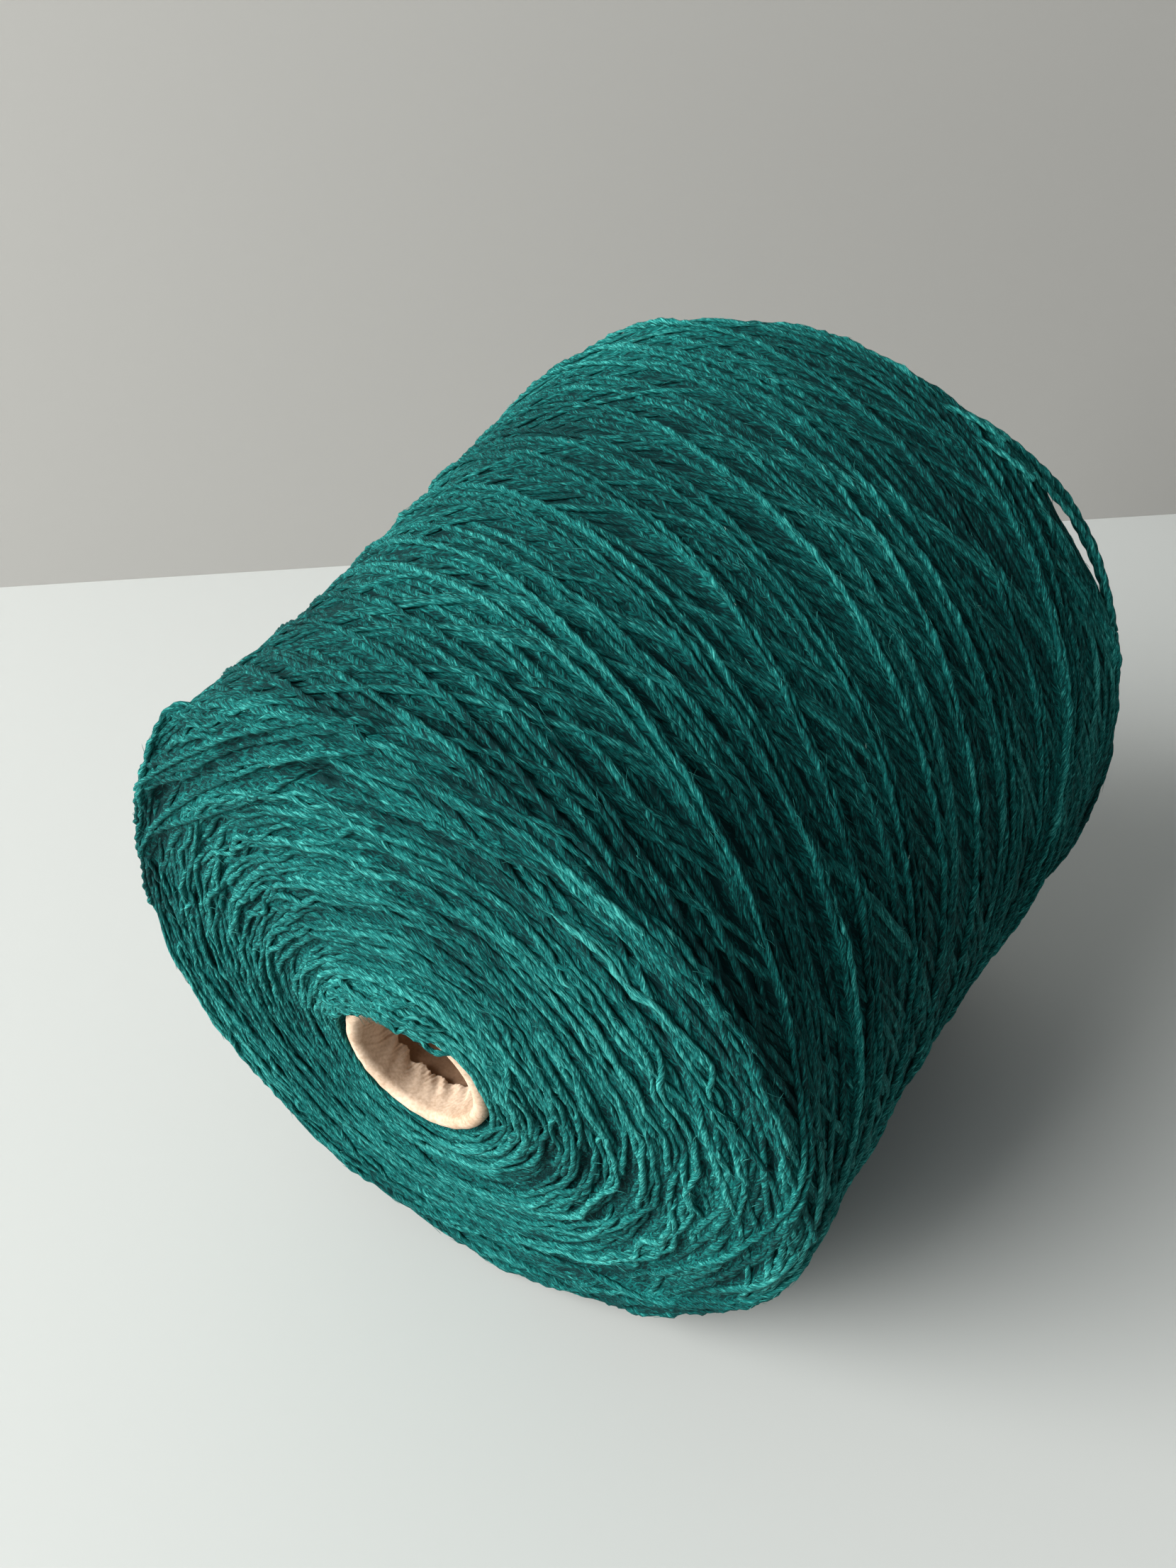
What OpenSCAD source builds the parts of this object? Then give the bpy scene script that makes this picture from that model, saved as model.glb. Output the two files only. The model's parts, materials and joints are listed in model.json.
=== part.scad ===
// Cone of two-ply yarn lying on its side: a tapered paper core with a
// turned-in nose, the wound yarn in three builds one over another, and three
// turns that have slipped off the base shoulder.
//
// Row frame: Z up from the surface it lies on, -Y towards the nose.

/* [Paper core] */
// Length of the paper core from base edge to nose rim
core_len = 170; // [165:1:175]
// Angle between the core's wall and its axis, in degrees
cone_angle = 5.95; // [5.5:0.05:6.5]
// Outer diameter at the nose fold
nose_od = 32.5; // [31:0.5:35]
// Thickness of the outer kraft ply
outer_ply_t = 0.6; // [0.4:0.1:1]
// Thickness of the board plies in the middle of the wall
board_t = 1.0; // [0.6:0.1:1.4]
// Thickness of the inner kraft ply
inner_ply_t = 0.6; // [0.4:0.1:1]
// Thickness of the paper where it is turned in at the nose
lip_t = 1.0; // [0.8:0.1:1.2]
// How far the turned-in lip reaches down the bore, from the nose rim
lip_depth = 9; // [8:0.5:12]

/* [Yarn package] */
// Length of bare core left at the base
base_clear = 3; // [2:0.5:5]
// Radius at the base shoulder, before it is rounded
base_shoulder_r = 92.5; // [90:0.5:95]
// How far the base shoulder stands back from the middle of the base face
base_dome = 6; // [4:0.5:8]
// How far the nose shoulder stands back from the middle of the nose face
nose_dome = 4; // [3:0.5:5]
// Rounding of the base shoulder
base_round = 22; // [18:1:26]
// Rounding of the nose shoulder
nose_round = 7; // [5:0.5:10]
// How much the flank draws in midway between the shoulders
waist = 1.8; // [1:0.1:2.4]
// Thickness of the first build and of the second
build_t = 18; // [14:1:18]
// Gap between the nose rim and the yarn round it
rim_gap = 1.2; // [0.8:0.1:2]
// Depth below the nose rim at which that gap closes
rim_gap_depth = 6; // [4:1:8]
// How much the yarn is pressed flat where it lies
flat_depth = 1.6; // [1.2:0.1:2]

/* [Slipped turns] */
// Diameter of one strand of the yarn
strand_d = 1.4; // [1:0.1:1.8]
// Steps between two points of a slipped turn's route
route_steps = 2; // [2:1:3]

/* [Hidden] */
$fn = 96;

// Paper core, in the package frame: Z along its axis from base to nose
slope = tan(cone_angle);
wall_t = outer_ply_t + board_t + inner_ply_t;
fold_r = (wall_t + lip_t) / 2;
fold_z = core_len - fold_r;
throat_r = nose_od / 2 - 2 * fold_r;
function core_r(z) = nose_od / 2 + (fold_z - z) * slope;

// Corners of the package's outline, before its shoulders are rounded
nose_face = [core_r(fold_z) + rim_gap, core_len];
base_corner = [base_shoulder_r, base_clear + base_dome];
nose_corner_z = core_len - nose_dome;
nose_corner = [base_shoulder_r - (nose_corner_z - base_corner.y) * slope, nose_corner_z];
base_face = [core_r(base_clear), base_clear];

// Unit vector from one point towards another
function towards(a, b) = (b - a) / norm(b - a);
// Centre of the arc of radius r that rounds the corner b between a and c
function round_centre(a, b, c, r) =
    let (u = towards(b, a), v = towards(b, c), half = acos(u * v) / 2)
    b + (u + v) / norm(u + v) * r / sin(half);
// Foot of the perpendicular from p to the line from a to b
function foot(p, a, b) = a + towards(a, b) * ((p - a) * towards(a, b));
// Arc about c from p to q, taken in even steps of angle
function arc(c, p, q, steps) =
    let (
        r = norm(p - c),
        a0 = atan2(p.y - c.y, p.x - c.x),
        a1 = atan2(q.y - c.y, q.x - c.x)
    )
    [for (i = [0:steps]) let (a = a0 + (a1 - a0) * i / steps) c + r * [cos(a), sin(a)]];

nose_c = round_centre(nose_face, nose_corner, base_corner, nose_round);
base_c = round_centre(nose_corner, base_corner, base_face, base_round);
flank_nose = foot(nose_c, nose_corner, base_corner);
flank_base = foot(base_c, nose_corner, base_corner);
flank_out = [cos(cone_angle), sin(cone_angle)];

// Flank between the shoulders, drawn in by a parabola that is deepest midway
function flank(steps) = [
    for (i = [1:steps - 1])
    let (t = i / steps)
    flank_nose + (flank_base - flank_nose) * t - flank_out * waist * 4 * t * (1 - t)
];

// Distance of a point from the core's surface, square to the axis
function clear(p) = p.x - core_r(p.y);
// Point on the line from a to b at a distance from the core's surface
function at_distance(a, b, d) = a + (b - a) * (d - clear(a)) / (clear(b) - clear(a));
// Ends of the face between two builds, on the nose face and on the base face
function nose_end(d) = at_distance(nose_face, nose_corner, d);
function base_end(d) = at_distance(base_face, base_corner, d);

inner_outline = [
    base_face, base_end(build_t), nose_end(build_t), nose_face,
    [core_r(core_len - rim_gap_depth), core_len - rim_gap_depth]
];
middle_outline = [base_end(build_t), base_end(2 * build_t), nose_end(2 * build_t), nose_end(build_t)];
outer_outline = concat(
    [nose_end(2 * build_t)],
    arc(nose_c, foot(nose_c, nose_face, nose_corner), flank_nose, 6),
    flank(8),
    arc(base_c, flank_base, foot(base_c, base_corner, base_face), 8),
    [base_end(2 * build_t)]
);

// Where the package lies: its flank level, its lowest line pressed flat
lie_z = base_corner.x * cos(cone_angle) + base_corner.y * sin(cone_angle) - flat_depth;
reach_nose = nose_c * [sin(cone_angle), cos(cone_angle)] + nose_round;
reach_base = core_r(0) * sin(cone_angle);
lie_y = (reach_nose - reach_base) / 2;

kraft = [0.80, 0.66, 0.52];
kraft_dark = [0.42, 0.31, 0.23];
teal = [0.10, 0.42, 0.40];
teal_deep = [0.05, 0.28, 0.27];

// Routes of the slipped turns. Each point is the angle round the package from
// +X towards its upper side, the angle round the base shoulder from the flank
// towards the base, and the height off the shoulder.
turn_1 = [
    [50, 14, 1], [46, 18, 1.5], [42, 22, 2], [38, 26, 2.5], [34, 28, 2.5],
    [30, 28, 2.5], [26, 26, 2], [22, 23, 1.5], [18, 20, 1]
];
turn_2 = [
    [48, 24, 1], [44, 29, 1], [40, 34, 1.5], [36, 37, 2], [32, 38, 2],
    [28, 36, 2], [24, 32, 1.5], [20, 27, 1]
];
turn_3 = [
    [44, 8, 1], [40, 13, 1], [36, 17, 1.5], [32, 19, 2], [28, 18, 2], [24, 15, 1.5], [20, 11, 1]
];

// A route's point in the package frame
function place(p) =
    let (r = base_round + p[2], out = base_c.x + r * cos(p[1]))
    [out * cos(p[0]), out * sin(p[0]), base_c.y - r * sin(p[1])];
// Point at t between b and c on the smooth curve through a, b, c and d
function curve(a, b, c, d, t) =
    0.5 * (2 * b + (c - a) * t + (2 * a - 5 * b + 4 * c - d) * t * t
    + (3 * b - a - 3 * c + d) * t * t * t);
// Points along the smooth curve through a route's points
function path(route) =
    let (p = [for (q = route) place(q)], last = len(p) - 1)
    concat(
        [for (i = [0:last - 1], k = [0:route_steps - 1])
            curve(p[max(i - 1, 0)], p[i], p[i + 1], p[min(i + 2, last)], k / route_steps)],
        [p[last]]
    );

// Round tube of diameter d along a list of points, closed at both ends
module tube(points, d, sides) {
    last = len(points) - 1;
    rings = [
        for (i = [0:last])
        let (
            t = towards(points[max(i - 1, 0)], points[min(i + 1, last)]),
            u = towards([0, 0, 0], cross(t, [0, 0, 1])),
            v = cross(u, t)
        )
        for (k = [0:sides - 1]) points[i] + d / 2 * (u * cos(360 * k / sides) + v * sin(360 * k / sides))
    ];
    walls = [
        for (i = [0:last - 1], k = [0:sides - 1])
        let (a = i * sides + k, b = i * sides + (k + 1) % sides)
        [a, b, b + sides, a + sides]
    ];
    start = [for (k = [sides - 1:-1:0]) k];
    end = [for (k = [0:sides - 1]) last * sides + k];
    polyhedron(rings, concat(walls, [start, end]));
}

// Turns the package frame over into the row frame, lying on its flank
module lie() {
    translate([0, lie_y, lie_z]) rotate([90 + cone_angle, 0, 0]) children();
}

// Ply of the core between two depths below its outer surface
module ply(outer_depth, inner_depth) {
    rotate_extrude()
        polygon([
            [core_r(0) - outer_depth, 0], [core_r(fold_z) - outer_depth, fold_z],
            [core_r(fold_z) - inner_depth, fold_z], [core_r(0) - inner_depth, 0]
        ]);
}

module core_outer_ply() {
    color(kraft) lie() ply(0, outer_ply_t);
}

module core_board() {
    color(kraft_dark) lie() ply(outer_ply_t, outer_ply_t + board_t);
}

module core_inner_ply() {
    color(kraft_dark) lie() ply(outer_ply_t + board_t, wall_t);
}

// Rolled rim over the ends of the plies, and the lip turned into the bore
module nose_lip() {
    lip_end = core_len - lip_depth;
    fold_c = [throat_r + fold_r, fold_z];
    rim = arc(fold_c, fold_c + [fold_r, 0], fold_c - [fold_r, 0], 12);
    color(kraft) lie() rotate_extrude()
        polygon(concat(rim, [
            [throat_r, lip_end], [core_r(lip_end) - wall_t, lip_end], [core_r(fold_z) - wall_t, fold_z]
        ]));
}

module yarn_inner_build() {
    color(teal_deep) lie() rotate_extrude() polygon(inner_outline);
}

module yarn_middle_build() {
    color(teal_deep) lie() rotate_extrude() polygon(middle_outline);
}

// The last build, with the flat that it lies on
module yarn_outer_build() {
    color(teal) difference() {
        lie() rotate_extrude() polygon(outer_outline);
        translate([-core_len, -core_len, -core_len]) cube([2 * core_len, 2 * core_len, core_len]);
    }
}

module slipped_turn_1() {
    color(teal) lie() tube(path(turn_1), strand_d, 8);
}

module slipped_turn_2() {
    color(teal) lie() tube(path(turn_2), strand_d, 8);
}

module slipped_turn_3() {
    color(teal) lie() tube(path(turn_3), strand_d, 8);
}

core_outer_ply();
core_board();
core_inner_ply();
nose_lip();
yarn_inner_build();
yarn_middle_build();
yarn_outer_build();
slipped_turn_1();
slipped_turn_2();
slipped_turn_3();
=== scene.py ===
import json
import logging
import math
from dataclasses import dataclass, field
from enum import Enum

import bpy
import numpy as np
from mathutils import Matrix


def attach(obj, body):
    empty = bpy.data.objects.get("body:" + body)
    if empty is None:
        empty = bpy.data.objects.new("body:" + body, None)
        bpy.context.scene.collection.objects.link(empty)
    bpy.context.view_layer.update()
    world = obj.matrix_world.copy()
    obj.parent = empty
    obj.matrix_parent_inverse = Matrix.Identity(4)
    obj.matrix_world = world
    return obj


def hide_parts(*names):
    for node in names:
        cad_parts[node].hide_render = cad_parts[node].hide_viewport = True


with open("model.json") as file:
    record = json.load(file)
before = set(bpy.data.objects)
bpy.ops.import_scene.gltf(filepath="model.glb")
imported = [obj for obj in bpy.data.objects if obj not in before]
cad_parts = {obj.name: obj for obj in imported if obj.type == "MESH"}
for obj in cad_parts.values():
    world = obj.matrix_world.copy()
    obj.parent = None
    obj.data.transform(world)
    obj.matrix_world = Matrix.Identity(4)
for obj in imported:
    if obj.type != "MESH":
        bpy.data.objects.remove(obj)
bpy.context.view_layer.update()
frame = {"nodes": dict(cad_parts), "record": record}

MM = 0.001
FULL_TURN = 2 * math.pi
MOST_TRIANGLES = 185_000

log = logging.getLogger("yarn_cone")


# Smooth random values and small steps of geometry


def smooth_step(x: np.ndarray) -> np.ndarray:
    """Ease from 0 to 1 as x goes from 0 to 1, by three x squared less two x cubed."""
    t = np.clip(x, 0, 1)
    return t * t * (3 - 2 * t)


def wander(rng: np.random.Generator, count: int, step: float, wave: float, size: float) -> np.ndarray:
    """Smooth random wander along a line, eased from one random knot to the next.

    Args:
        rng: source of the knots.
        count: number of values.
        step: distance between two values.
        wave: distance between two knots.
        size: standard deviation of the knots.

    Returns:
        One value for each step.
    """
    at = np.arange(count) * step / wave + rng.random()
    knots = rng.normal(0, size, int(at[-1]) + 2)
    low = at.astype(int)
    part = smooth_step(at - low)
    return knots[low] * (1 - part) + knots[low + 1] * part


def window_max(values: np.ndarray, reach: int) -> np.ndarray:
    """Highest value within reach places of each value."""
    padded = np.pad(values, reach, mode="edge")
    return np.lib.stride_tricks.sliding_window_view(padded, 2 * reach + 1).max(-1)


def window_mean(values: np.ndarray, reach: int) -> np.ndarray:
    """Mean of the values within reach places of each value."""
    padded = np.pad(values, reach, mode="edge")
    return np.lib.stride_tricks.sliding_window_view(padded, 2 * reach + 1).mean(-1)


def box_mean(values: np.ndarray, reach: int) -> np.ndarray:
    """Mean over each row and the rows within reach of it, by running sums, without the end rows."""
    sums = np.cumsum(np.concatenate([np.zeros((1, values.shape[1])), values]), axis=0)
    span = 2 * reach + 1
    return (sums[span:] - sums[:-span]) / span


def unit(vectors: np.ndarray) -> np.ndarray:
    """Vectors along the last axis, brought to a length of one."""
    return vectors / np.maximum(np.linalg.norm(vectors, axis=-1, keepdims=True), 1e-12)


# The package's own frame and outline


@dataclass(frozen=True)
class PackageFrame:
    """Frame of the package: along its axis from base to nose, with up towards its upper side."""

    origin: np.ndarray
    along: np.ndarray

    @classmethod
    def from_record(cls, record: dict) -> "PackageFrame":
        """Frame that the record's core socket gives, at the core's base end."""
        socket = next(m for m in record["mounts"] if m["name"] == "core_socket")
        return cls(np.array(socket["pos_m"], float), -unit(np.array(socket["axis"], float)))

    def to_row(self, points: np.ndarray) -> np.ndarray:
        """Points or vectors of the package's frame, turned into the shared frame's directions."""
        across = np.array([1.0, 0.0, 0.0])
        up = np.cross(self.along, across)
        return points @ np.stack([across, up, self.along])

    def place(self, points: np.ndarray) -> np.ndarray:
        """Points of the package's frame at their place in the shared frame."""
        return self.to_row(points) + self.origin


@dataclass
class Outline:
    """Outline of the wound package, from the nose rim outwards, down the flank and in to the core's base.

    Reach is the distance along this outline, and goes below zero on the rim itself. Its corners are
    rounded by arcs, and the flank is drawn in by a parabola that is deepest midway.
    """

    core_len: float = 170 * MM
    cone_angle: float = math.radians(5.95)
    nose_od: float = 32.5 * MM
    fold: float = 1.6 * MM
    base_clear: float = 3 * MM
    shoulder_r: float = 92.5 * MM
    base_dome: float = 6 * MM
    nose_dome: float = 4 * MM
    base_round: float = 22 * MM
    nose_round: float = 7 * MM
    waist: float = 1.8 * MM
    rim_gap: float = 1.2 * MM
    lap: float = 4 * MM
    step: float = 0.25 * MM
    typical_turn_r: float = 84 * MM

    def __post_init__(self) -> None:
        """Works out the corners, the arcs and the table of points along the outline."""
        slope = math.tan(self.cone_angle)
        self.fold_z = self.core_len - self.fold
        nose_face = np.array([self.core_radius(self.fold_z) + self.rim_gap, self.core_len])
        base_corner = np.array([self.shoulder_r, self.base_clear + self.base_dome])
        nose_z = self.core_len - self.nose_dome
        nose_corner = np.array([self.shoulder_r - (nose_z - base_corner[1]) * slope, nose_z])
        base_face = np.array([self.core_radius(self.base_clear), self.base_clear])
        self.nose_c = self.round_centre(nose_face, nose_corner, base_corner, self.nose_round)
        self.base_c = self.round_centre(nose_corner, base_corner, base_face, self.base_round)
        flank_nose = self.foot(self.nose_c, nose_corner, base_corner)
        flank_base = self.foot(self.base_c, nose_corner, base_corner)
        face_points, flank_points = 80, 161
        t = np.linspace(0, 1, flank_points)[:, None]
        out = np.array([math.cos(self.cone_angle), math.sin(self.cone_angle)])
        flank = flank_nose + (flank_base - flank_nose) * t - out * self.waist * 4 * t * (1 - t)
        face_end = self.foot(self.nose_c, nose_face, nose_corner)
        base_start = self.foot(self.base_c, base_corner, base_face)
        runs = [
            np.linspace(nose_face, face_end, face_points),
            self.arc(self.nose_c, face_end, flank_nose),
            flank,
            self.arc(self.base_c, flank_base, base_start),
            np.linspace(base_start, base_face, face_points),
        ]
        lengths = [float(np.linalg.norm(np.diff(run, axis=0), axis=1).sum()) for run in runs]
        ends = np.cumsum(lengths)
        self.face_end, self.flank_start, self.flank_end, self.base_start, self.total = map(float, ends)
        points = np.concatenate([runs[0], *[run[1:] for run in runs[1:]]])
        along = np.concatenate([[0], np.cumsum(np.linalg.norm(np.diff(points, axis=0), axis=1))])
        self.reach = np.arange(-self.lap, self.total, self.step)
        self.radius = np.interp(self.reach, along, points[:, 0]) + np.minimum(self.reach, 0)
        self.level = np.interp(self.reach, along, points[:, 1])
        tangent = unit(np.stack([np.gradient(self.radius), np.gradient(self.level)], -1))
        self.out_r, self.out_z = -tangent[:, 1], tangent[:, 0]

    def core_radius(self, z: float | np.ndarray) -> float | np.ndarray:
        """Radius of the core's outside at one or more distances from its base end."""
        return self.nose_od / 2 + (self.fold_z - z) * math.tan(self.cone_angle)

    @staticmethod
    def round_centre(a: np.ndarray, b: np.ndarray, c: np.ndarray, radius: float) -> np.ndarray:
        """Centre of the arc that rounds the corner b between a and c."""
        u, v = unit(a - b), unit(c - b)
        half = math.acos(float(u @ v)) / 2
        return b + unit(u + v) * radius / math.sin(half)

    @staticmethod
    def foot(p: np.ndarray, a: np.ndarray, b: np.ndarray) -> np.ndarray:
        """Foot of the perpendicular from p to the line from a to b."""
        return a + unit(b - a) * float((p - a) @ unit(b - a))

    @staticmethod
    def arc(centre: np.ndarray, start: np.ndarray, end: np.ndarray) -> np.ndarray:
        """Points on the arc about centre from start to end, in even steps of angle."""
        a, b = (math.atan2(*(p - centre)[::-1]) for p in (start, end))
        arc_points = 40
        angle = np.linspace(a, b, arc_points)
        return centre + np.linalg.norm(start - centre) * np.stack([np.cos(angle), np.sin(angle)], -1)

    def at(self, reach: np.ndarray) -> tuple[np.ndarray, np.ndarray, np.ndarray, np.ndarray]:
        """Radius, level and the two parts of the outward normal at a reach."""
        parts = (self.radius, self.level, self.out_r, self.out_z)
        return tuple(np.interp(reach, self.reach, part) for part in parts)

    def surface(
        self, turn: np.ndarray, reach: np.ndarray, height: np.ndarray
    ) -> tuple[np.ndarray, np.ndarray]:
        """Points that stand at a height off the package's surface, and the normals there.

        Args:
            turn: angle round the package.
            reach: distance along the outline.
            height: distance off the surface, along its normal.

        Returns:
            The points and the unit normals, in the package's frame.
        """
        r, z, out_r, out_z = self.at(reach)
        out = r + height * out_r
        points = np.stack([out * np.cos(turn), out * np.sin(turn), z + height * out_z], -1)
        normals = np.stack([out_r * np.cos(turn), out_r * np.sin(turn), out_z], -1)
        return points, unit(normals)


# Meshes


@dataclass
class MeshParts:
    """Vertices, faces and values of a mesh that is put together from many sweeps."""

    points: list[np.ndarray] = field(default_factory=list)
    quads: list[np.ndarray] = field(default_factory=list)
    tris: list[np.ndarray] = field(default_factory=list)
    quad_uv: list[np.ndarray] = field(default_factory=list)
    tri_uv: list[np.ndarray] = field(default_factory=list)
    values: dict[str, list[np.ndarray]] = field(default_factory=dict)
    count: int = 0

    def add(
        self,
        points: np.ndarray,
        quads: np.ndarray,
        tris: np.ndarray,
        quad_uv: np.ndarray,
        tri_uv: np.ndarray,
        **values: np.ndarray,
    ) -> None:
        """Adds one closed form, with its faces counted from its own first vertex."""
        self.points.append(points)
        self.quads.append(quads + self.count)
        self.tris.append(tris + self.count)
        self.quad_uv.append(quad_uv)
        self.tri_uv.append(tri_uv)
        for name, value in values.items():
            self.values.setdefault(name, []).append(np.broadcast_to(value, len(points)))
        self.count += len(points)

    def triangles(self) -> int:
        """Number of triangles so far."""
        return 2 * sum(map(len, self.quads)) + sum(map(len, self.tris))

    def build(self, name: str) -> bpy.types.Object:
        """Makes the object, with its values as attributes and its map along and round each strand.

        Args:
            name: name of the piece.

        Returns:
            The new object, linked to the scene and smooth shaded.
        """
        points = np.concatenate(self.points)
        quads = np.concatenate([*self.quads, np.empty((0, 4), int)]).astype(np.int32)
        tris = np.concatenate([*self.tris, np.empty((0, 3), int)]).astype(np.int32)
        mesh = bpy.data.meshes.new(name)
        mesh.vertices.add(len(points))
        mesh.vertices.foreach_set("co", points.astype(np.float32).ravel())
        mesh.loops.add(quads.size + tris.size)
        mesh.loops.foreach_set("vertex_index", np.concatenate([quads.ravel(), tris.ravel()]))
        mesh.polygons.add(len(quads) + len(tris))
        starts = [np.arange(len(quads)) * 4, quads.size + np.arange(len(tris)) * 3]
        mesh.polygons.foreach_set("loop_start", np.concatenate(starts).astype(np.int32))
        mesh.polygons.foreach_set("use_smooth", np.ones(len(quads) + len(tris), bool))
        corners = [x.reshape(-1, 2) for x in [*self.quad_uv, *self.tri_uv]]
        layer = mesh.uv_layers.new(name="Strand")
        layer.uv.foreach_set("vector", np.concatenate(corners).astype(np.float32).ravel())
        for title, parts in self.values.items():
            attribute = mesh.attributes.new(title, "FLOAT", "POINT")
            attribute.data.foreach_set("value", np.concatenate(parts).astype(np.float32))
        mesh.update(calc_edges=True)
        piece = bpy.data.objects.new(name, mesh)
        bpy.context.scene.collection.objects.link(piece)
        return piece


def sweep(
    parts: MeshParts,
    path: np.ndarray,
    normals: np.ndarray,
    radius: np.ndarray,
    sides: int,
    lobes: np.ndarray | None = None,
    flat: float = 1.0,
    **values: np.ndarray,
) -> None:
    """Adds a closed tube along a path.

    A ring stands square to the path at each of its points. At an angle a from the normal, the ring's
    radius is the strand's radius times one plus a share of the cosine of twice the angle past the twist,
    so two plies that turn about each other show as two lobes. The normal part is pressed by flat, and a
    tip a little beyond each end closes the tube.

    Args:
        parts: mesh that the tube joins.
        path: points along the middle of the tube.
        normals: direction at each point that stands off the surface below.
        radius: radius at each point.
        sides: number of sides of a ring.
        lobes: twist of the two plies at each point, or None for a round strand.
        flat: height of the ring as a share of its width.
        **values: attributes, one value each or one for each point of the path.
    """
    tangent = unit(np.gradient(path, axis=0))
    side = unit(np.cross(tangent, normals))
    stand = np.cross(side, tangent)
    angle = np.linspace(-math.pi, math.pi, sides + 1)[:-1]
    lobe_share, tip_share = 0.2, 0.7
    swell = np.ones((len(path), sides))
    if lobes is not None:
        swell = 1 + lobe_share * np.cos(2 * (angle[None, :] - lobes[:, None]))
    ring = radius[:, None] * swell
    rise = (ring * np.cos(angle) * flat)[..., None] * stand[:, None, :]
    spread = (ring * np.sin(angle))[..., None] * side[:, None, :]
    shell = (path[:, None, :] + rise + spread).reshape(-1, 3)
    first_tip = path[0] - tangent[0] * radius[0] * tip_share
    last_tip = path[-1] + tangent[-1] * radius[-1] * tip_share
    rows, last = len(path), len(path) - 1
    i, k = np.meshgrid(np.arange(last), np.arange(sides), indexing="ij")
    after = (k + 1) % sides
    low, high = i * sides, (i + 1) * sides
    quads = np.stack([low + k, low + after, high + after, high + k], -1)
    k0 = np.arange(sides)
    k1 = (k0 + 1) % sides
    start = np.stack([np.full(sides, rows * sides), k1, k0], -1)
    end = np.stack([np.full(sides, rows * sides + 1), last * sides + k0, last * sides + k1], -1)
    along = np.concatenate([[0], np.cumsum(np.linalg.norm(np.diff(path, axis=0), axis=1))])
    u = np.stack([along[i], along[i], along[i + 1], along[i + 1]], -1)
    v = np.stack([k, k + 1, k + 1, k], -1) / sides
    cap = np.stack([k0 + 0.5, k0 + 1, k0], -1) / sides
    tri_uv = np.stack([np.stack([np.full((sides, 3), at), cap], -1) for at in (along[0], along[-1])])
    by_row = {name: np.broadcast_to(value, rows) for name, value in values.items()}
    by_point = {
        name: np.concatenate([np.repeat(value, sides), value[[0, -1]]]) for name, value in by_row.items()
    }
    parts.add(
        np.concatenate([shell, [first_tip, last_tip]]),
        quads.reshape(-1, 4),
        np.concatenate([start, end]),
        np.stack([u, v], -1).reshape(-1, 4, 2),
        tri_uv.reshape(-1, 3, 2),
        **by_point,
    )


# Winding


@dataclass
class Strand:
    """One stretch of the yarn as it lies on the package, in fine steps."""

    turn: np.ndarray
    reach: np.ndarray
    radius: np.ndarray
    tone: float
    height: np.ndarray

    def every(self, count: int) -> "Strand":
        """The same stretch with one point kept in so many, and its last."""
        keep = np.unique(np.append(np.arange(0, len(self.turn), count), len(self.turn) - 1))
        return Strand(self.turn[keep], self.reach[keep], self.radius[keep], self.tone, self.height[keep])


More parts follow.
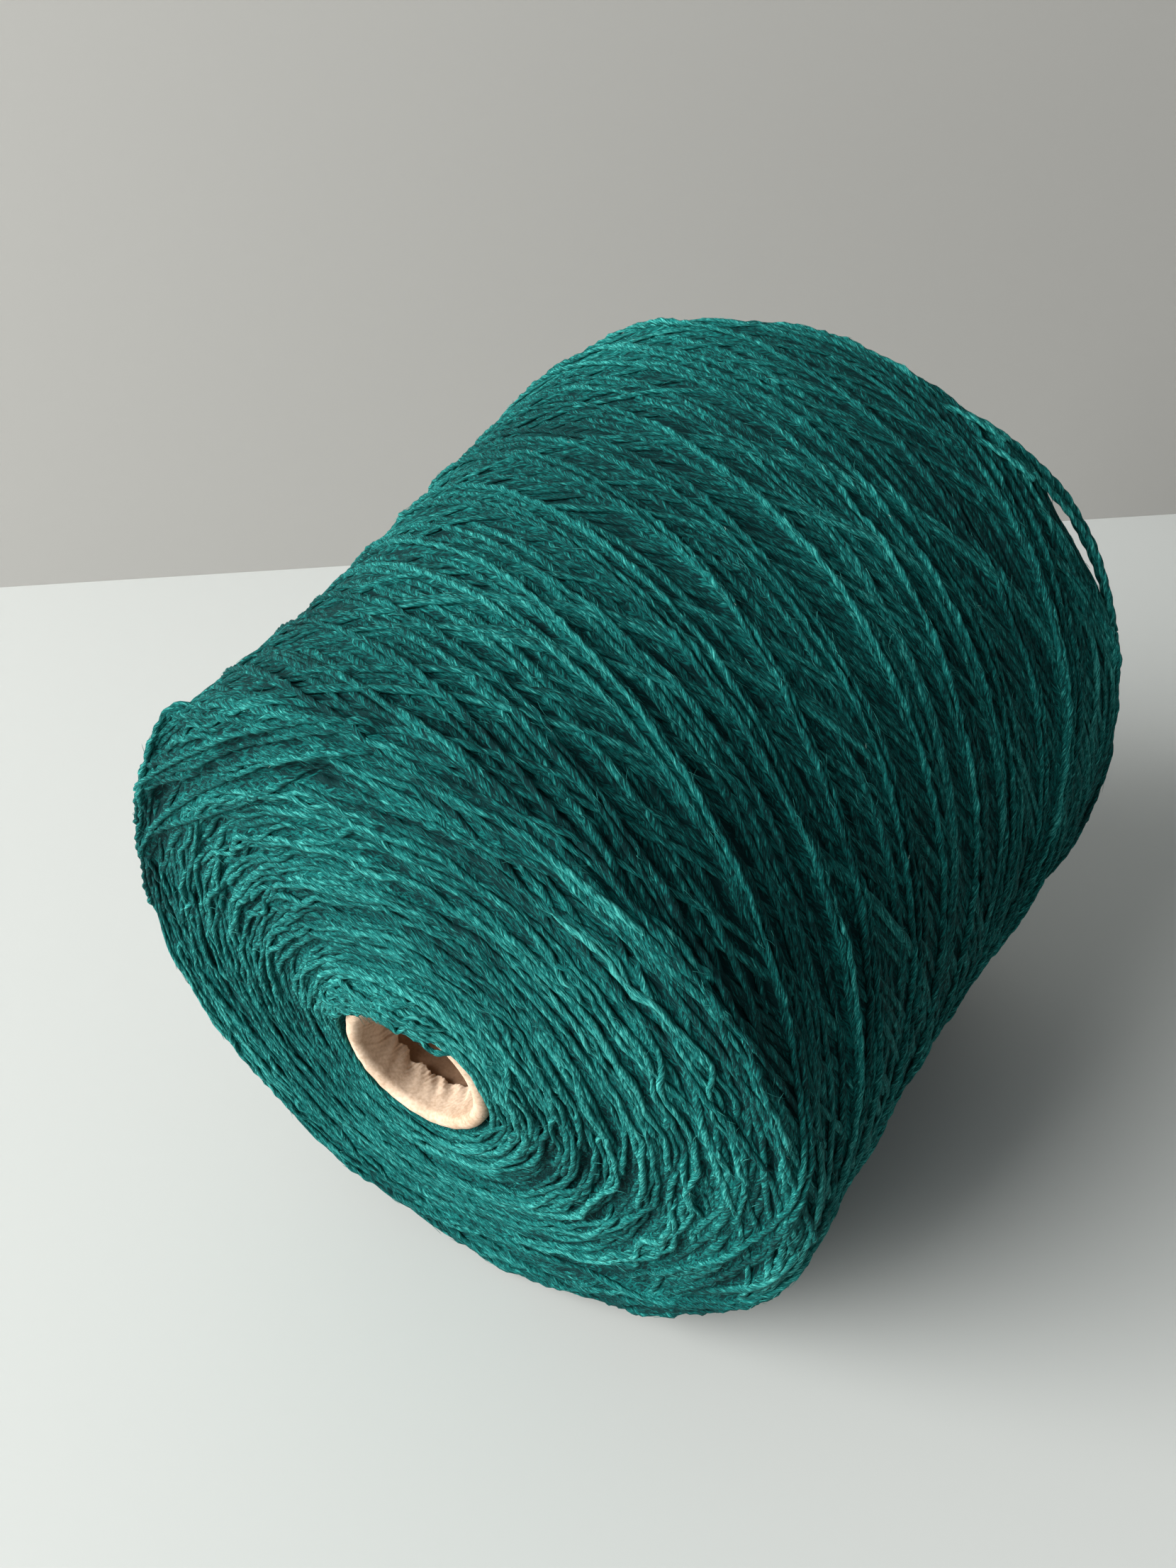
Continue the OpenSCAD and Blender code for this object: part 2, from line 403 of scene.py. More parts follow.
@dataclass
class Bed:
    """Map of how high the yarn stands so far, over the angle round the package and the reach."""

    outline: Outline
    cell: float = 0.45 * MM
    step: float = 0.5 * MM
    flat: float = 0.8
    dive_length: float = 9 * MM

    def __post_init__(self) -> None:
        """Starts with a bare surface."""
        self.rows = int((self.outline.total + self.outline.lap) / self.cell) + 2
        self.columns = int(FULL_TURN * self.outline.radius.max() / self.cell)
        self.heights = np.zeros((self.rows, self.columns), np.float32)

    def cells(self, turn: np.ndarray, reach: np.ndarray) -> tuple[np.ndarray, np.ndarray]:
        """Row and column of the cells under some places."""
        row = np.clip(((reach + self.outline.lap) / self.cell).astype(int), 0, self.rows - 1)
        column = np.floor(turn / FULL_TURN * self.columns).astype(int) % self.columns
        return row, column

    def beside(self, strand: Strand, offset: np.ndarray) -> tuple[np.ndarray, np.ndarray]:
        """Cells at some distances to the side of each point of a strand."""
        r = self.outline.at(strand.reach)[0]
        forward = unit(np.stack([r * np.gradient(strand.turn), np.gradient(strand.reach)], -1))
        turn = strand.turn - offset[:, None] * forward[:, 1] / r
        return self.cells(turn, strand.reach + offset[:, None] * forward[:, 0])

    def lay(self, strand: Strand, sink: float, dive: float) -> Strand:
        """Lays a strand on what lies there, and raises the map under it.

        The strand rests midway between the highest yarn within 2 mm along it and the mean of what lies
        below, both evened out over about 8 mm as the winding tension does, and sinks in by a share of its
        own height. Its two ends go under.

        Args:
            strand: the strand, whose height is set here.
            sink: share of the strand's height that it sinks by.
            dive: depth that its ends go down to.

        Returns:
            The same strand.
        """
        across = np.linspace(-0.6, 0.6, 5) * float(strand.radius.mean())
        below = self.heights[self.beside(strand, across)]
        highest = window_mean(window_max(below.max(0), 4), 6)
        mean = window_mean(below.mean(0), 8)
        rest = window_mean(0.5 * highest + 0.5 * mean, 5)
        half = strand.radius * self.flat
        count = len(strand.turn)
        edge = np.minimum(np.arange(count), np.arange(count)[::-1]) * self.step
        diving = 1 - smooth_step(edge / self.dive_length)
        strand.height = rest + half * (1 - 2 * sink) - dive * diving
        offset = np.linspace(-0.9, 0.9, 7)
        wide = offset * float(strand.radius.mean())
        crown = strand.height + half * np.sqrt(1 - offset[:, None] ** 2)
        np.maximum.at(self.heights, self.beside(strand, wide), crown.astype(np.float32))
        return strand

    @staticmethod
    def evened(heights: np.ndarray, half: int, times: int) -> np.ndarray:
        """A map evened out by the mean of a box, which goes on round the package and stops at both ends.

        Args:
            heights: the map.
            half: cells from the middle of the box to its edge.
            times: how many times the box is passed over the map.

        Returns:
            The evened map.
        """
        for _ in range(times):
            heights = box_mean(np.pad(heights, ((half, half), (0, 0)), mode="edge"), half)
            heights = box_mean(np.pad(heights, ((0, 0), (half, half)), mode="wrap").T, half).T
        return heights

    def level(self, share: float, width: float) -> np.ndarray:
        """Broad shape of what lies there, raised so that a share of the yarn stays under it.

        It is the mean height at each reach, and with it what is left once that mean is taken off and the
        rest is evened out.

        Args:
            share: the share.
            width: width of the box that evens out the map, which is passed over it three times.

        Returns:
            A height for each cell.
        """
        around = self.heights.mean(axis=1, keepdims=True)
        broad = self.evened(self.heights - around, int(width / self.cell / 2), 3) + around
        return broad + np.quantile(self.heights - broad, share)


class Crossing(Enum):
    """Which way a traverse of the yarn goes along the package."""

    TO_BASE = 1
    TO_NOSE = -1


@dataclass
class Winder:
    """Lays the yarn on the package, in the order in which a winder would.

    Each wander of a strand is the length of its waves and their size, both in millimetres.
    """

    outline: Outline
    bed: Bed
    strand_r: float = 0.58 * MM
    turns_per_traverse: float = 1.04
    dive: float = 3.4 * MM
    flank_wanders: tuple = ((32, 0.4), (9, 0.12), (3.5, 0.09), (160, 2.2))
    face_wanders: tuple = ((16, 0.7), (6, 0.5), (2.6, 0.2))
    rim_wanders: tuple = ((6, 0.4), (2.5, 0.12))
    seed: int = 7

    def __post_init__(self) -> None:
        """Starts the winder's own random numbers."""
        self.rng = np.random.default_rng(self.seed)

    def strayed(self, path: np.ndarray, wanders: tuple, share: float = 1.0) -> np.ndarray:
        """Reach along a strand with some wanders added to it, each times a share."""
        for wave, size in wanders:
            path = path + wander(self.rng, len(path), self.bed.step, wave * MM, size * MM * share)
        return path

    def slubs(self, count: int) -> np.ndarray:
        """Radius along a strand: a slow swell, a quicker one, and a slub here and there."""
        rng, step = self.rng, self.bed.step
        slow = wander(rng, count, step, 14 * MM, 0.1)
        quick = wander(rng, count, step, 2.4 * MM, 0.16)
        slub = np.clip(wander(rng, count, step, 5 * MM, 1.0) - 1.5, 0, 1.2) * 0.4
        return self.strand_r * np.clip(1 + slow + quick + slub, 0.6, 1.75)

    def traverse(self, start: float, way: Crossing, turns: float, shift: float) -> Strand:
        """One traverse from shoulder to shoulder, with its turn-round at either end.

        The reach goes from one end to the other as an arcsine of a damped cosine of the phase, which is
        straight midway and rounded where the yarn turns back, while the angle grows evenly.

        Args:
            start: angle round the package at which it leaves its first end.
            way: which end it goes to.
            turns: turns round the package from end to end.
            shift: distance along the outline by which it lies beside its neighbour.

        Returns:
            The traverse, not yet laid.
        """
        rng, line = self.rng, self.outline
        overrun, damping = 0.1, 0.975
        length = turns * FULL_TURN * line.typical_turn_r * (1 + 2 * overrun)
        count = int(length / self.bed.step)
        phase = np.linspace(-overrun, 1 + overrun, count)
        part = 0.5 - np.arcsin(damping * np.cos(math.pi * phase)) / (2 * math.asin(damping))
        if way is Crossing.TO_NOSE:
            part = 1 - part
        low = line.face_end + rng.uniform(-14, 6) * MM
        high = line.flank_end + rng.uniform(6, 28) * MM
        reach = self.strayed(low + (high - low) * part + shift, self.flank_wanders)
        turn = start + phase * turns * FULL_TURN
        return Strand(turn, reach, self.slubs(count), float(rng.random()), np.zeros(count))

    def traverses(self, count: int, most_beside: int, sink: float, to_base: float) -> list[Strand]:
        """Lays a number of traverses.

        Args:
            count: how many traverses.
            most_beside: most strands that lie side by side in one ridge.
            sink: share of its height by which each sinks into the bed.
            to_base: share of them that go to the base.

        Returns:
            The strands, as laid.
        """
        rng, laid = self.rng, []
        start = rng.random() * FULL_TURN
        while len(laid) < count:
            way = Crossing.TO_BASE if rng.random() < to_base else Crossing.TO_NOSE
            turns = self.turns_per_traverse * rng.uniform(0.86, 1.2)
            start += turns * FULL_TURN + rng.uniform(0.02, 0.6) * FULL_TURN
            for beside in range(int(rng.integers(1, most_beside + 1))):
                shift = beside * rng.uniform(1.1, 2.2) * MM
                strand = self.traverse(start, way, turns * rng.uniform(0.99, 1.01), shift)
                laid.append(self.bed.lay(strand, sink, self.dive))
        return laid

    def over_rim(self, count: int) -> list[Strand]:
        """Turns that lap over the upper side of the nose rim, as chords whose two ends go under.

        Each lies a little above or below the last, at a height off the plain surface.

        Args:
            count: how many turns.

        Returns:
            The strands.
        """
        rng, laid, steps = self.rng, [], 150
        t = np.linspace(-1, 1, steps)
        diving = smooth_step((np.abs(t) - 0.72) / 0.28)
        for number in range(count):
            turn = math.radians(rng.normal(103, 9)) + t * math.radians(rng.uniform(36, 54))
            part = number / (count - 1)
            reach = (rng.uniform(-2.6, -1.5) * (1 - part) + rng.uniform(-1, 3) * part) * MM
            path = reach + rng.uniform(1.5, 5) * MM * t**2 + rng.normal(0, 0.5) * MM * t
            path = self.strayed(path, self.rim_wanders)
            rise = rng.uniform(-0.7, 0.5) * MM + wander(rng, steps, self.bed.step, 9 * MM, 0.25 * MM)
            rise = rise - self.dive * diving
            laid.append(Strand(turn, path, self.slubs(steps) * 0.9, float(rng.random()), rise))
        return laid

    def arcs(self, low: float, high: float, layers: float, sink: float, loose: float) -> list[Strand]:
        """Lays turn-rounds on an end face: arcs about the core whose two ends go under.

        Args:
            low: least reach of an arc's middle.
            high: greatest reach of an arc's middle.
            layers: how many times the arcs cover the face.
            sink: share of its height by which each sinks into the bed.
            loose: how far the arcs stray, against tight ones.

        Returns:
            The strands, as laid.
        """
        rng, line, laid = self.rng, self.outline, []
        radii = line.at(np.linspace(low, high, 60))[0]
        area = FULL_TURN * float(radii.mean()) * (high - low)
        room = layers * area / (2 * self.strand_r)
        places = np.linspace(low, high, 400)
        weight = line.at(places)[0]
        fewest_steps, longest = 24, 1.6 * math.pi
        while room > 0:
            reach = float(rng.choice(places, p=weight / weight.sum()))
            r = float(line.at(np.array([reach]))[0][0])
            length = rng.uniform(45, 130) * MM
            sweep_angle = min(length / r, longest)
            count = max(int(sweep_angle * r / self.bed.step), fewest_steps)
            t = np.linspace(-1, 1, count)
            turn = rng.random() * FULL_TURN + t * sweep_angle / 2
            bow = rng.normal(0, 1.6) * MM * loose
            path = reach + bow * t**2 + rng.normal(0, 1.0) * MM * loose * t
            path = self.strayed(path, self.face_wanders, loose)
            path = np.clip(path, 0.4 * MM, line.total - 0.4 * MM)
            strand = Strand(turn, path, self.slubs(count), float(rng.random()), np.zeros(count))
            laid.append(self.bed.lay(strand, sink, self.dive))
            room -= sweep_angle * r
        return laid


# The package's shape beyond its plain outline


@dataclass
class Lie:
    """How the yarn strays from the plain outline, and how it is pressed flat where it lies.

    A lump is its height, its waves round the package, its angle for each metre along it and its phase.
    """

    outline: Outline
    place: PackageFrame
    rim_swell: float = 2.4 * MM
    rim_swell_at: float = math.radians(84)
    rim_swell_width: float = math.radians(62)
    rim_swell_reach: float = 13 * MM
    slip_at: float = math.radians(33)
    slip_width: float = math.radians(5.5)
    slip_shoulder_at: float = math.radians(24)
    slip_shoulder_width: float = math.radians(19)
    slip_depth: float = 0.8 * MM
    held_at: tuple[float, float] = (math.radians(47), math.radians(18.5))
    held_width: float = math.radians(5.5)
    held_swell: float = 1.4 * MM
    nose_shoulder_width: float = 10 * MM
    lumps: tuple = ((0.25 * MM, 3, 40, 0), (0.2 * MM, 5, -75, 1))
    slack_at: float = math.radians(-26)
    slack_width: float = math.radians(30)
    slack_reach: float = 17 * MM
    slack_breadth: float = 15 * MM
    slack_depth: float = 1.1 * MM
    give: float = 0.5 * MM

    def stray(self, turn: np.ndarray, reach: np.ndarray) -> np.ndarray:
        """Height added to the plain surface.

        It is a swell by the nose rim, a hollow where turns slipped off, a swell at each of the two places
        that still hold them, and lumps all over. But for the lumps, which are sines, each is a bell: the
        exponential of less an even power of the distance over the width.
        """
        away = (turn - self.rim_swell_at + math.pi) % FULL_TURN - math.pi
        rim = np.exp(-((away / self.rim_swell_width) ** 2))
        rim = rim * (1 - smooth_step(reach / self.rim_swell_reach))
        off = (turn - self.slip_at + math.pi) % FULL_TURN - math.pi
        shoulder = (reach - self.outline.flank_end) / self.outline.base_round - self.slip_shoulder_at
        beside = np.exp(-((shoulder / self.slip_shoulder_width) ** 4))
        hollow = np.exp(-((off / self.slip_width) ** 4)) * beside
        for held_at in self.held_at:
            off = (turn - held_at + math.pi) % FULL_TURN - math.pi
            held = np.exp(-((off / self.held_width) ** 2)) * beside
            hollow = hollow - held * self.held_swell / self.slip_depth
        lumps = sum(size * np.sin(a * turn + b * reach + phase) for size, a, b, phase in self.lumps)
        return self.rim_swell * rim - self.slip_depth * hollow + lumps

    def at_nose_shoulder(self, reach: np.ndarray) -> np.ndarray:
        """How near a reach is to the nose shoulder, from 0 to 1: a bell about its middle."""
        middle = (self.outline.face_end + self.outline.flank_start) / 2
        return np.exp(-(((reach - middle) / self.nose_shoulder_width) ** 4))

    def slack(self, turn: np.ndarray, reach: np.ndarray) -> np.ndarray:
        """Depth by which the turns of the nose face have sunk, below the core's lower side: a bell."""
        away = (turn - self.slack_at + math.pi) % FULL_TURN - math.pi
        off = (reach - self.slack_reach) / self.slack_breadth
        return self.slack_depth * np.exp(-((away / self.slack_width) ** 2) - off**2)

    def press(self, points: np.ndarray, least: float | np.ndarray) -> np.ndarray:
        """Points kept off the surface that the package lies on.

        The height is eased in by the logarithm of one plus an exponential, so it never falls below least.
        """
        pressed = points.copy()
        low = (points[:, 2] - least) / self.give
        pressed[:, 2] = least + self.give * np.logaddexp(0, low)
        return pressed


# Finishes


class Tree:
    """Short ways to place and join shader nodes in one tree."""

    def __init__(self, tree: bpy.types.NodeTree) -> None:
        """Keeps the tree."""
        self.tree = tree

    def node(self, kind: str, **settings: object) -> bpy.types.Node:
        """A new node of a kind, with its settings."""
        made = self.tree.nodes.new(kind)
        for name, value in settings.items():
            setattr(made, name, value)
        return made

    def join(self, source: bpy.types.NodeSocket, target: bpy.types.NodeSocket) -> None:
        """Joins two sockets."""
        self.tree.links.new(source, target)

    def math(self, operation: str, *values: object) -> bpy.types.NodeSocket:
        """Output of a Math node whose inputs are sockets or numbers."""
        made = self.node("ShaderNodeMath", operation=operation)
        for i, value in enumerate(values):
            if isinstance(value, bpy.types.NodeSocket):
                self.join(value, made.inputs[i])
            else:
                made.inputs[i].default_value = value
        return made.outputs[0]

    def nudge(
        self, light: object, value: bpy.types.NodeSocket, middle: float, share: float
    ) -> bpy.types.NodeSocket:
        """A lightness, raised by a share of how far a value is above its middle."""
        return self.math("MULTIPLY_ADD", self.math("SUBTRACT", value, middle), share, light)

    def attribute(self, name: str) -> bpy.types.NodeSocket:
        """Value of a named attribute of the piece."""
        return self.node("ShaderNodeAttribute", attribute_name=name).outputs["Fac"]

    def strand_map(self) -> bpy.types.Node:
        """The piece's own map, split into its two ways."""
        split = self.node("ShaderNodeSeparateXYZ")
        self.join(self.node("ShaderNodeUVMap", uv_map="Strand").outputs[0], split.inputs[0])
        return split

    def noise(self, place: bpy.types.NodeSocket, **values: float) -> bpy.types.Node:
        """Noise at a place, with its inputs set to numbers."""
        made = self.node("ShaderNodeTexNoise")
        self.join(place, made.inputs["Vector"])
        for name, value in values.items():
            made.inputs[name].default_value = value
        return made

    def bump(
        self, height: bpy.types.NodeSocket, strength: float, distance: float
    ) -> bpy.types.NodeSocket:
        """Normal of a surface that a height raises by up to a distance."""
        made = self.node("ShaderNodeBump")
        made.inputs["Strength"].default_value = strength
        made.inputs["Distance"].default_value = distance
        self.join(height, made.inputs["Height"])
        return made.outputs[0]

    def place_group(self, group: bpy.types.NodeTree, **values: object) -> bpy.types.Node:
        """A group placed in this tree, with its inputs set to sockets or numbers."""
        made = self.node("ShaderNodeGroup")
        made.node_tree = group
        for name, value in values.items():
            if isinstance(value, bpy.types.NodeSocket):
                self.join(value, made.inputs[name])
            else:
                made.inputs[name].default_value = value
        return made


def new_group(
    name: str, inputs: dict[str, float], outputs: list[str]
) -> tuple[Tree, bpy.types.Node, bpy.types.Node]:
    """A shader node group with named number inputs and outputs.

    Args:
        name: name of the group.
        inputs: name and default of each input.
        outputs: name of each output.

    Returns:
        The group's tree, its input node and its output node.
    """
    group = bpy.data.node_groups.new(name, "ShaderNodeTree")
    for title, value in inputs.items():
        socket = group.interface.new_socket(title, in_out="INPUT", socket_type="NodeSocketFloat")
        socket.default_value = value
    for title in outputs:
        group.interface.new_socket(title, in_out="OUTPUT", socket_type="NodeSocketFloat")
    tree = Tree(group)
    return tree, tree.node("NodeGroupInput"), tree.node("NodeGroupOutput")


def ply_twist_group() -> bpy.types.NodeTree:
    """Two plies that turn about each other, with their fibres.

    Lobe is half of one plus the cosine of twice the angle past the twist. Fibre is noise drawn out along
    the plies.
    """
    inputs = {"Along": 0, "Around": 0, "Pitch": 8, "Seed": 0}
    tree, given, out = new_group("Ply twist", inputs, ["Lobe", "Fibre"])
    turns = tree.math("DIVIDE", given.outputs["Along"], given.outputs["Pitch"])
    past = tree.math("SUBTRACT", given.outputs["Around"], turns)
    wave = tree.math("COSINE", tree.math("MULTIPLY", past, 4 * math.pi))
    tree.join(tree.math("MULTIPLY_ADD", wave, 0.5, 0.5), out.inputs["Lobe"])
    spot = tree.node("ShaderNodeCombineXYZ")
    tree.join(tree.math("MULTIPLY", given.outputs["Along"], 0.4), spot.inputs[0])
    tree.join(tree.math("MULTIPLY", past, 9.0), spot.inputs[1])
    tree.join(given.outputs["Seed"], spot.inputs[2])
    noise = tree.noise(spot.outputs[0], Scale=1.6, Detail=5, Roughness=0.68)
    tree.join(noise.outputs[0], out.inputs["Fibre"])
    return tree.tree


def mottle_group() -> bpy.types.NodeTree:
    """Uneven shade in space: a broad noise and a fine one, each with its own scale."""
    tree, given, out = new_group("Mottle", {"Broad": 20, "Fine": 900}, ["Broad shade", "Fine shade"])
    spot = tree.node("ShaderNodeTexCoord")
    for title, result in (("Broad", "Broad shade"), ("Fine", "Fine shade")):
        noise = tree.noise(spot.outputs["Object"], Detail=4)
        tree.join(given.outputs[title], noise.inputs["Scale"])
        tree.join(noise.outputs[0], out.inputs[result])
    return tree.tree


def new_material(name: str) -> tuple[bpy.types.Material, Tree, bpy.types.Node]:
    """A new material, its tree and its Principled node."""
    material = bpy.data.materials.new(name)
    material.use_nodes = True
    tree = Tree(material.node_tree)
    return material, tree, material.node_tree.nodes["Principled BSDF"]


def ramp(
    tree: Tree, value: bpy.types.NodeSocket, *stops: tuple[float, tuple[float, float, float]]
) -> bpy.types.NodeSocket:
    """Colour that a value picks from a row of stops, each a place and a colour."""
    made = tree.node("ShaderNodeValToRGB")
    elements = made.color_ramp.elements
    while len(elements) < len(stops):
        elements.new(0.5)
    for element, (at, colour) in zip(elements, stops, strict=True):
        element.position = at
        element.color = (*colour, 1)
    tree.join(value, made.inputs[0])
    return made.outputs[0]


@dataclass(frozen=True)
class DyedFinish:
    """What every finish of the dyed yarn shares: its colours, and the painted shade that darkens it with
    depth below the surface.
    """

    name: str
    # Darkest stop: the darkest fibres, and the painted shade of deep places between the turns.
    deep: tuple[float, float, float] = (0.0005, 0.018, 0.019)
    dyed: tuple[float, float, float] = (0.003, 0.126, 0.118)
    worn: tuple[float, float, float] = (0.078, 0.44, 0.4)
    # Share of lightness that painted shade takes off at the fullest depth.
    painted_shade_share: float = 0.44
    brighter: float = 0.0
    mottle_scale: float = 24.0
    mottle_share: float = 0.5
    specular: float = 0.1

    def colour(
        self, tree: Tree, light: bpy.types.NodeSocket, mottle: bpy.types.NodeTree
    ) -> bpy.types.NodeSocket:
        """Colour of a lightness, once it is mottled and its deep places are darkened by painted shade.

        Args:
            tree: tree of the material.
            light: the lightness, about one half where the yarn is plainly dyed.
            mottle: the shared group of uneven shade.

        Returns:
            The colour.
        """
        shade = tree.place_group(mottle, Broad=self.mottle_scale)
        light = tree.nudge(light, shade.outputs["Broad shade"], 0.5, self.mottle_share)
        # Painted shade: lightness falls with the depth attribute, in place of the shade between and under
        # the turns.
        light = tree.math("MULTIPLY_ADD", tree.attribute("depth"), -self.painted_shade_share, light)
        return ramp(tree, light, (0.08, self.deep), (0.5, self.dyed), (0.95, self.worn))


@dataclass(frozen=True)
class YarnFinish(DyedFinish):
    """Dyed slubby yarn of two plies."""

    pitch: float = 8.0
    # Share of lightness by which the plies' crests are painted lighter and the grooves between them
    # painted darker.
    lobe_share: float = 0.14
    fibre_share: float = 2.7
    tone_share: float = 0.14
    seed_span: float = 61.0
    sheen: float = 0.04
    sheen_tint: tuple[float, float, float] = (0.12, 0.95, 0.86)
    relief: float = 0.34 * MM

    def material(self, ply_twist: bpy.types.NodeTree, mottle: bpy.types.NodeTree) -> bpy.types.Material:
        """The finish as a material that reads the strand's map and its tone and depth.

        Args:
            ply_twist: the shared group of plies and fibres.
            mottle: the shared group of uneven shade.

        Returns:
            The material.
        """
        material, tree, shader = new_material(self.name)
        split = tree.strand_map()
        tone = tree.attribute("tone")
        plies = tree.place_group(
            ply_twist,
            Along=tree.math("MULTIPLY", split.outputs[0], 1 / MM),
            Around=split.outputs[1],
            Pitch=self.pitch,
            Seed=tree.math("MULTIPLY", tone, self.seed_span),
        )
        # Painted shade and highlight: the ply lobe lightens each ply's crest and darkens the groove
        # between the plies.
        base = 0.5 - self.lobe_share / 2 + self.brighter
        light = tree.math("MULTIPLY_ADD", plies.outputs["Lobe"], self.lobe_share, base)
        light = tree.nudge(light, plies.outputs["Fibre"], 0.5, self.fibre_share)
        light = tree.nudge(light, tone, 0.5, self.tone_share)
        tree.join(self.colour(tree, light, mottle), shader.inputs["Base Color"])
        rough = tree.math("MULTIPLY_ADD", plies.outputs["Fibre"], -0.2, 0.92)
        tree.join(rough, shader.inputs["Roughness"])
        shader.inputs["Specular IOR Level"].default_value = self.specular
        shader.inputs["Sheen Weight"].default_value = self.sheen
        shader.inputs["Sheen Roughness"].default_value = 0.45
        shader.inputs["Sheen Tint"].default_value = (*self.sheen_tint, 1)
        height = tree.math("MULTIPLY_ADD", plies.outputs["Lobe"], 0.4, plies.outputs["Fibre"])
        tree.join(tree.bump(height, 0.9, self.relief), shader.inputs["Normal"])
        return material


@dataclass(frozen=True)
class FeltFinish(DyedFinish):
    """Short fibres that bridge the turns, and lie along the yarn's two ways round the package."""

    mottle_scale: float = 60.0
    lay: float = math.radians(11)
    dash_length: float = 2.6 * MM
    dash_width: float = 0.42 * MM
    dash_middle: float = 0.56
    dash_share: float = 2.6
    relief: float = 0.5 * MM

    def dashes(self, tree: Tree, split: bpy.types.Node, lay: float) -> bpy.types.NodeSocket:
        """Noise drawn out along one way round the package.

        Args:
            tree: tree of the material.
            split: the map round and along the package.
            lay: angle of that way from the way round.

        Returns:
            The noise.
        """
        spot = tree.node("ShaderNodeCombineXYZ")
        lengthways = (self.dash_length, math.cos(lay), math.sin(lay))
        crossways = (self.dash_width, -math.sin(lay), math.cos(lay))
        for number, (size, around, along) in enumerate((lengthways, crossways)):
            part = tree.math("MULTIPLY", split.outputs[0], around / size)
            part = tree.math("MULTIPLY_ADD", split.outputs[1], along / size, part)
            tree.join(part, spot.inputs[number])
        spot.inputs[2].default_value = 40 * lay
        return tree.noise(spot.outputs[0], Scale=1.0, Detail=4, Roughness=0.62, Distortion=0.5).outputs[0]

    def material(self, mottle: bpy.types.NodeTree) -> bpy.types.Material:
        """The finish as a material that reads the map round and along the package.

        On each of the two ways there is noise drawn out along it, and the higher of the two shows.

        Args:
            mottle: the shared group of uneven shade.

        Returns:
            The material.
        """
        material, tree, shader = new_material(self.name)
        split = tree.strand_map()
        dash = tree.math("MAXIMUM", *(self.dashes(tree, split, lay) for lay in (self.lay, -self.lay)))
        light = tree.nudge(0.5 + self.brighter, dash, self.dash_middle, self.dash_share)
        tree.join(self.colour(tree, light, mottle), shader.inputs["Base Color"])
        shader.inputs["Roughness"].default_value = 0.85
        shader.inputs["Specular IOR Level"].default_value = self.specular
        tree.join(tree.bump(dash, 1.0, self.relief), shader.inputs["Normal"])
        return material


@dataclass(frozen=True)
class KraftFinish:
    """Kraft paper or board."""

    name: str
    shade: tuple[float, float, float]
    light: tuple[float, float, float]
    crinkle: float = 0.25 * MM
    crinkle_scale: float = 140.0
    fibre_scale: float = 1500.0

    def material(self, mottle: bpy.types.NodeTree) -> bpy.types.Material:
        """The finish as a material, mottled in space, with fine creases and fibres.

        Args:
            mottle: the shared group of uneven shade.

        Returns:
            The material.
        """
        material, tree, shader = new_material(self.name)
        shade = tree.place_group(mottle, Broad=self.crinkle_scale * 0.6, Fine=self.fibre_scale)
        value = tree.math("MULTIPLY_ADD", shade.outputs["Fine shade"], 0.5, shade.outputs["Broad shade"])
        tree.join(ramp(tree, value, (0.58, self.shade), (0.92, self.light)), shader.inputs["Base Color"])
        rough = tree.math("MULTIPLY_ADD", shade.outputs["Fine shade"], 0.2, 0.7)
        tree.join(rough, shader.inputs["Roughness"])
        shader.inputs["Specular IOR Level"].default_value = 0.3
        spot = tree.node("ShaderNodeTexCoord")
        creases = tree.node("ShaderNodeTexVoronoi", feature="DISTANCE_TO_EDGE")
        creases.inputs["Scale"].default_value = self.crinkle_scale
        tree.join(spot.outputs["Object"], creases.inputs["Vector"])
        height = tree.math("MULTIPLY_ADD", shade.outputs["Fine shade"], 0.18, creases.outputs["Distance"])
        tree.join(tree.bump(height, 0.5, self.crinkle), shader.inputs["Normal"])
        return material


# Sub-assemblies


def adopt(
    piece: bpy.types.Object, material: bpy.types.Material, slot: str, *stands_for: str
) -> bpy.types.Object:
    """Dresses a finished piece and ties it to the cone's body.

    Args:
        piece: the piece.
        material: its finish.
        slot: the record's material slot; not used.
        *stands_for: CAD nodes that it stands for.

    Returns:
        The piece.
    """
    piece.data.materials.append(material)
    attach(piece, "root")
    if stands_for:
        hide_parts(*stands_for)
    log.info("%s: %d faces", piece.name, len(piece.data.polygons))
    return piece


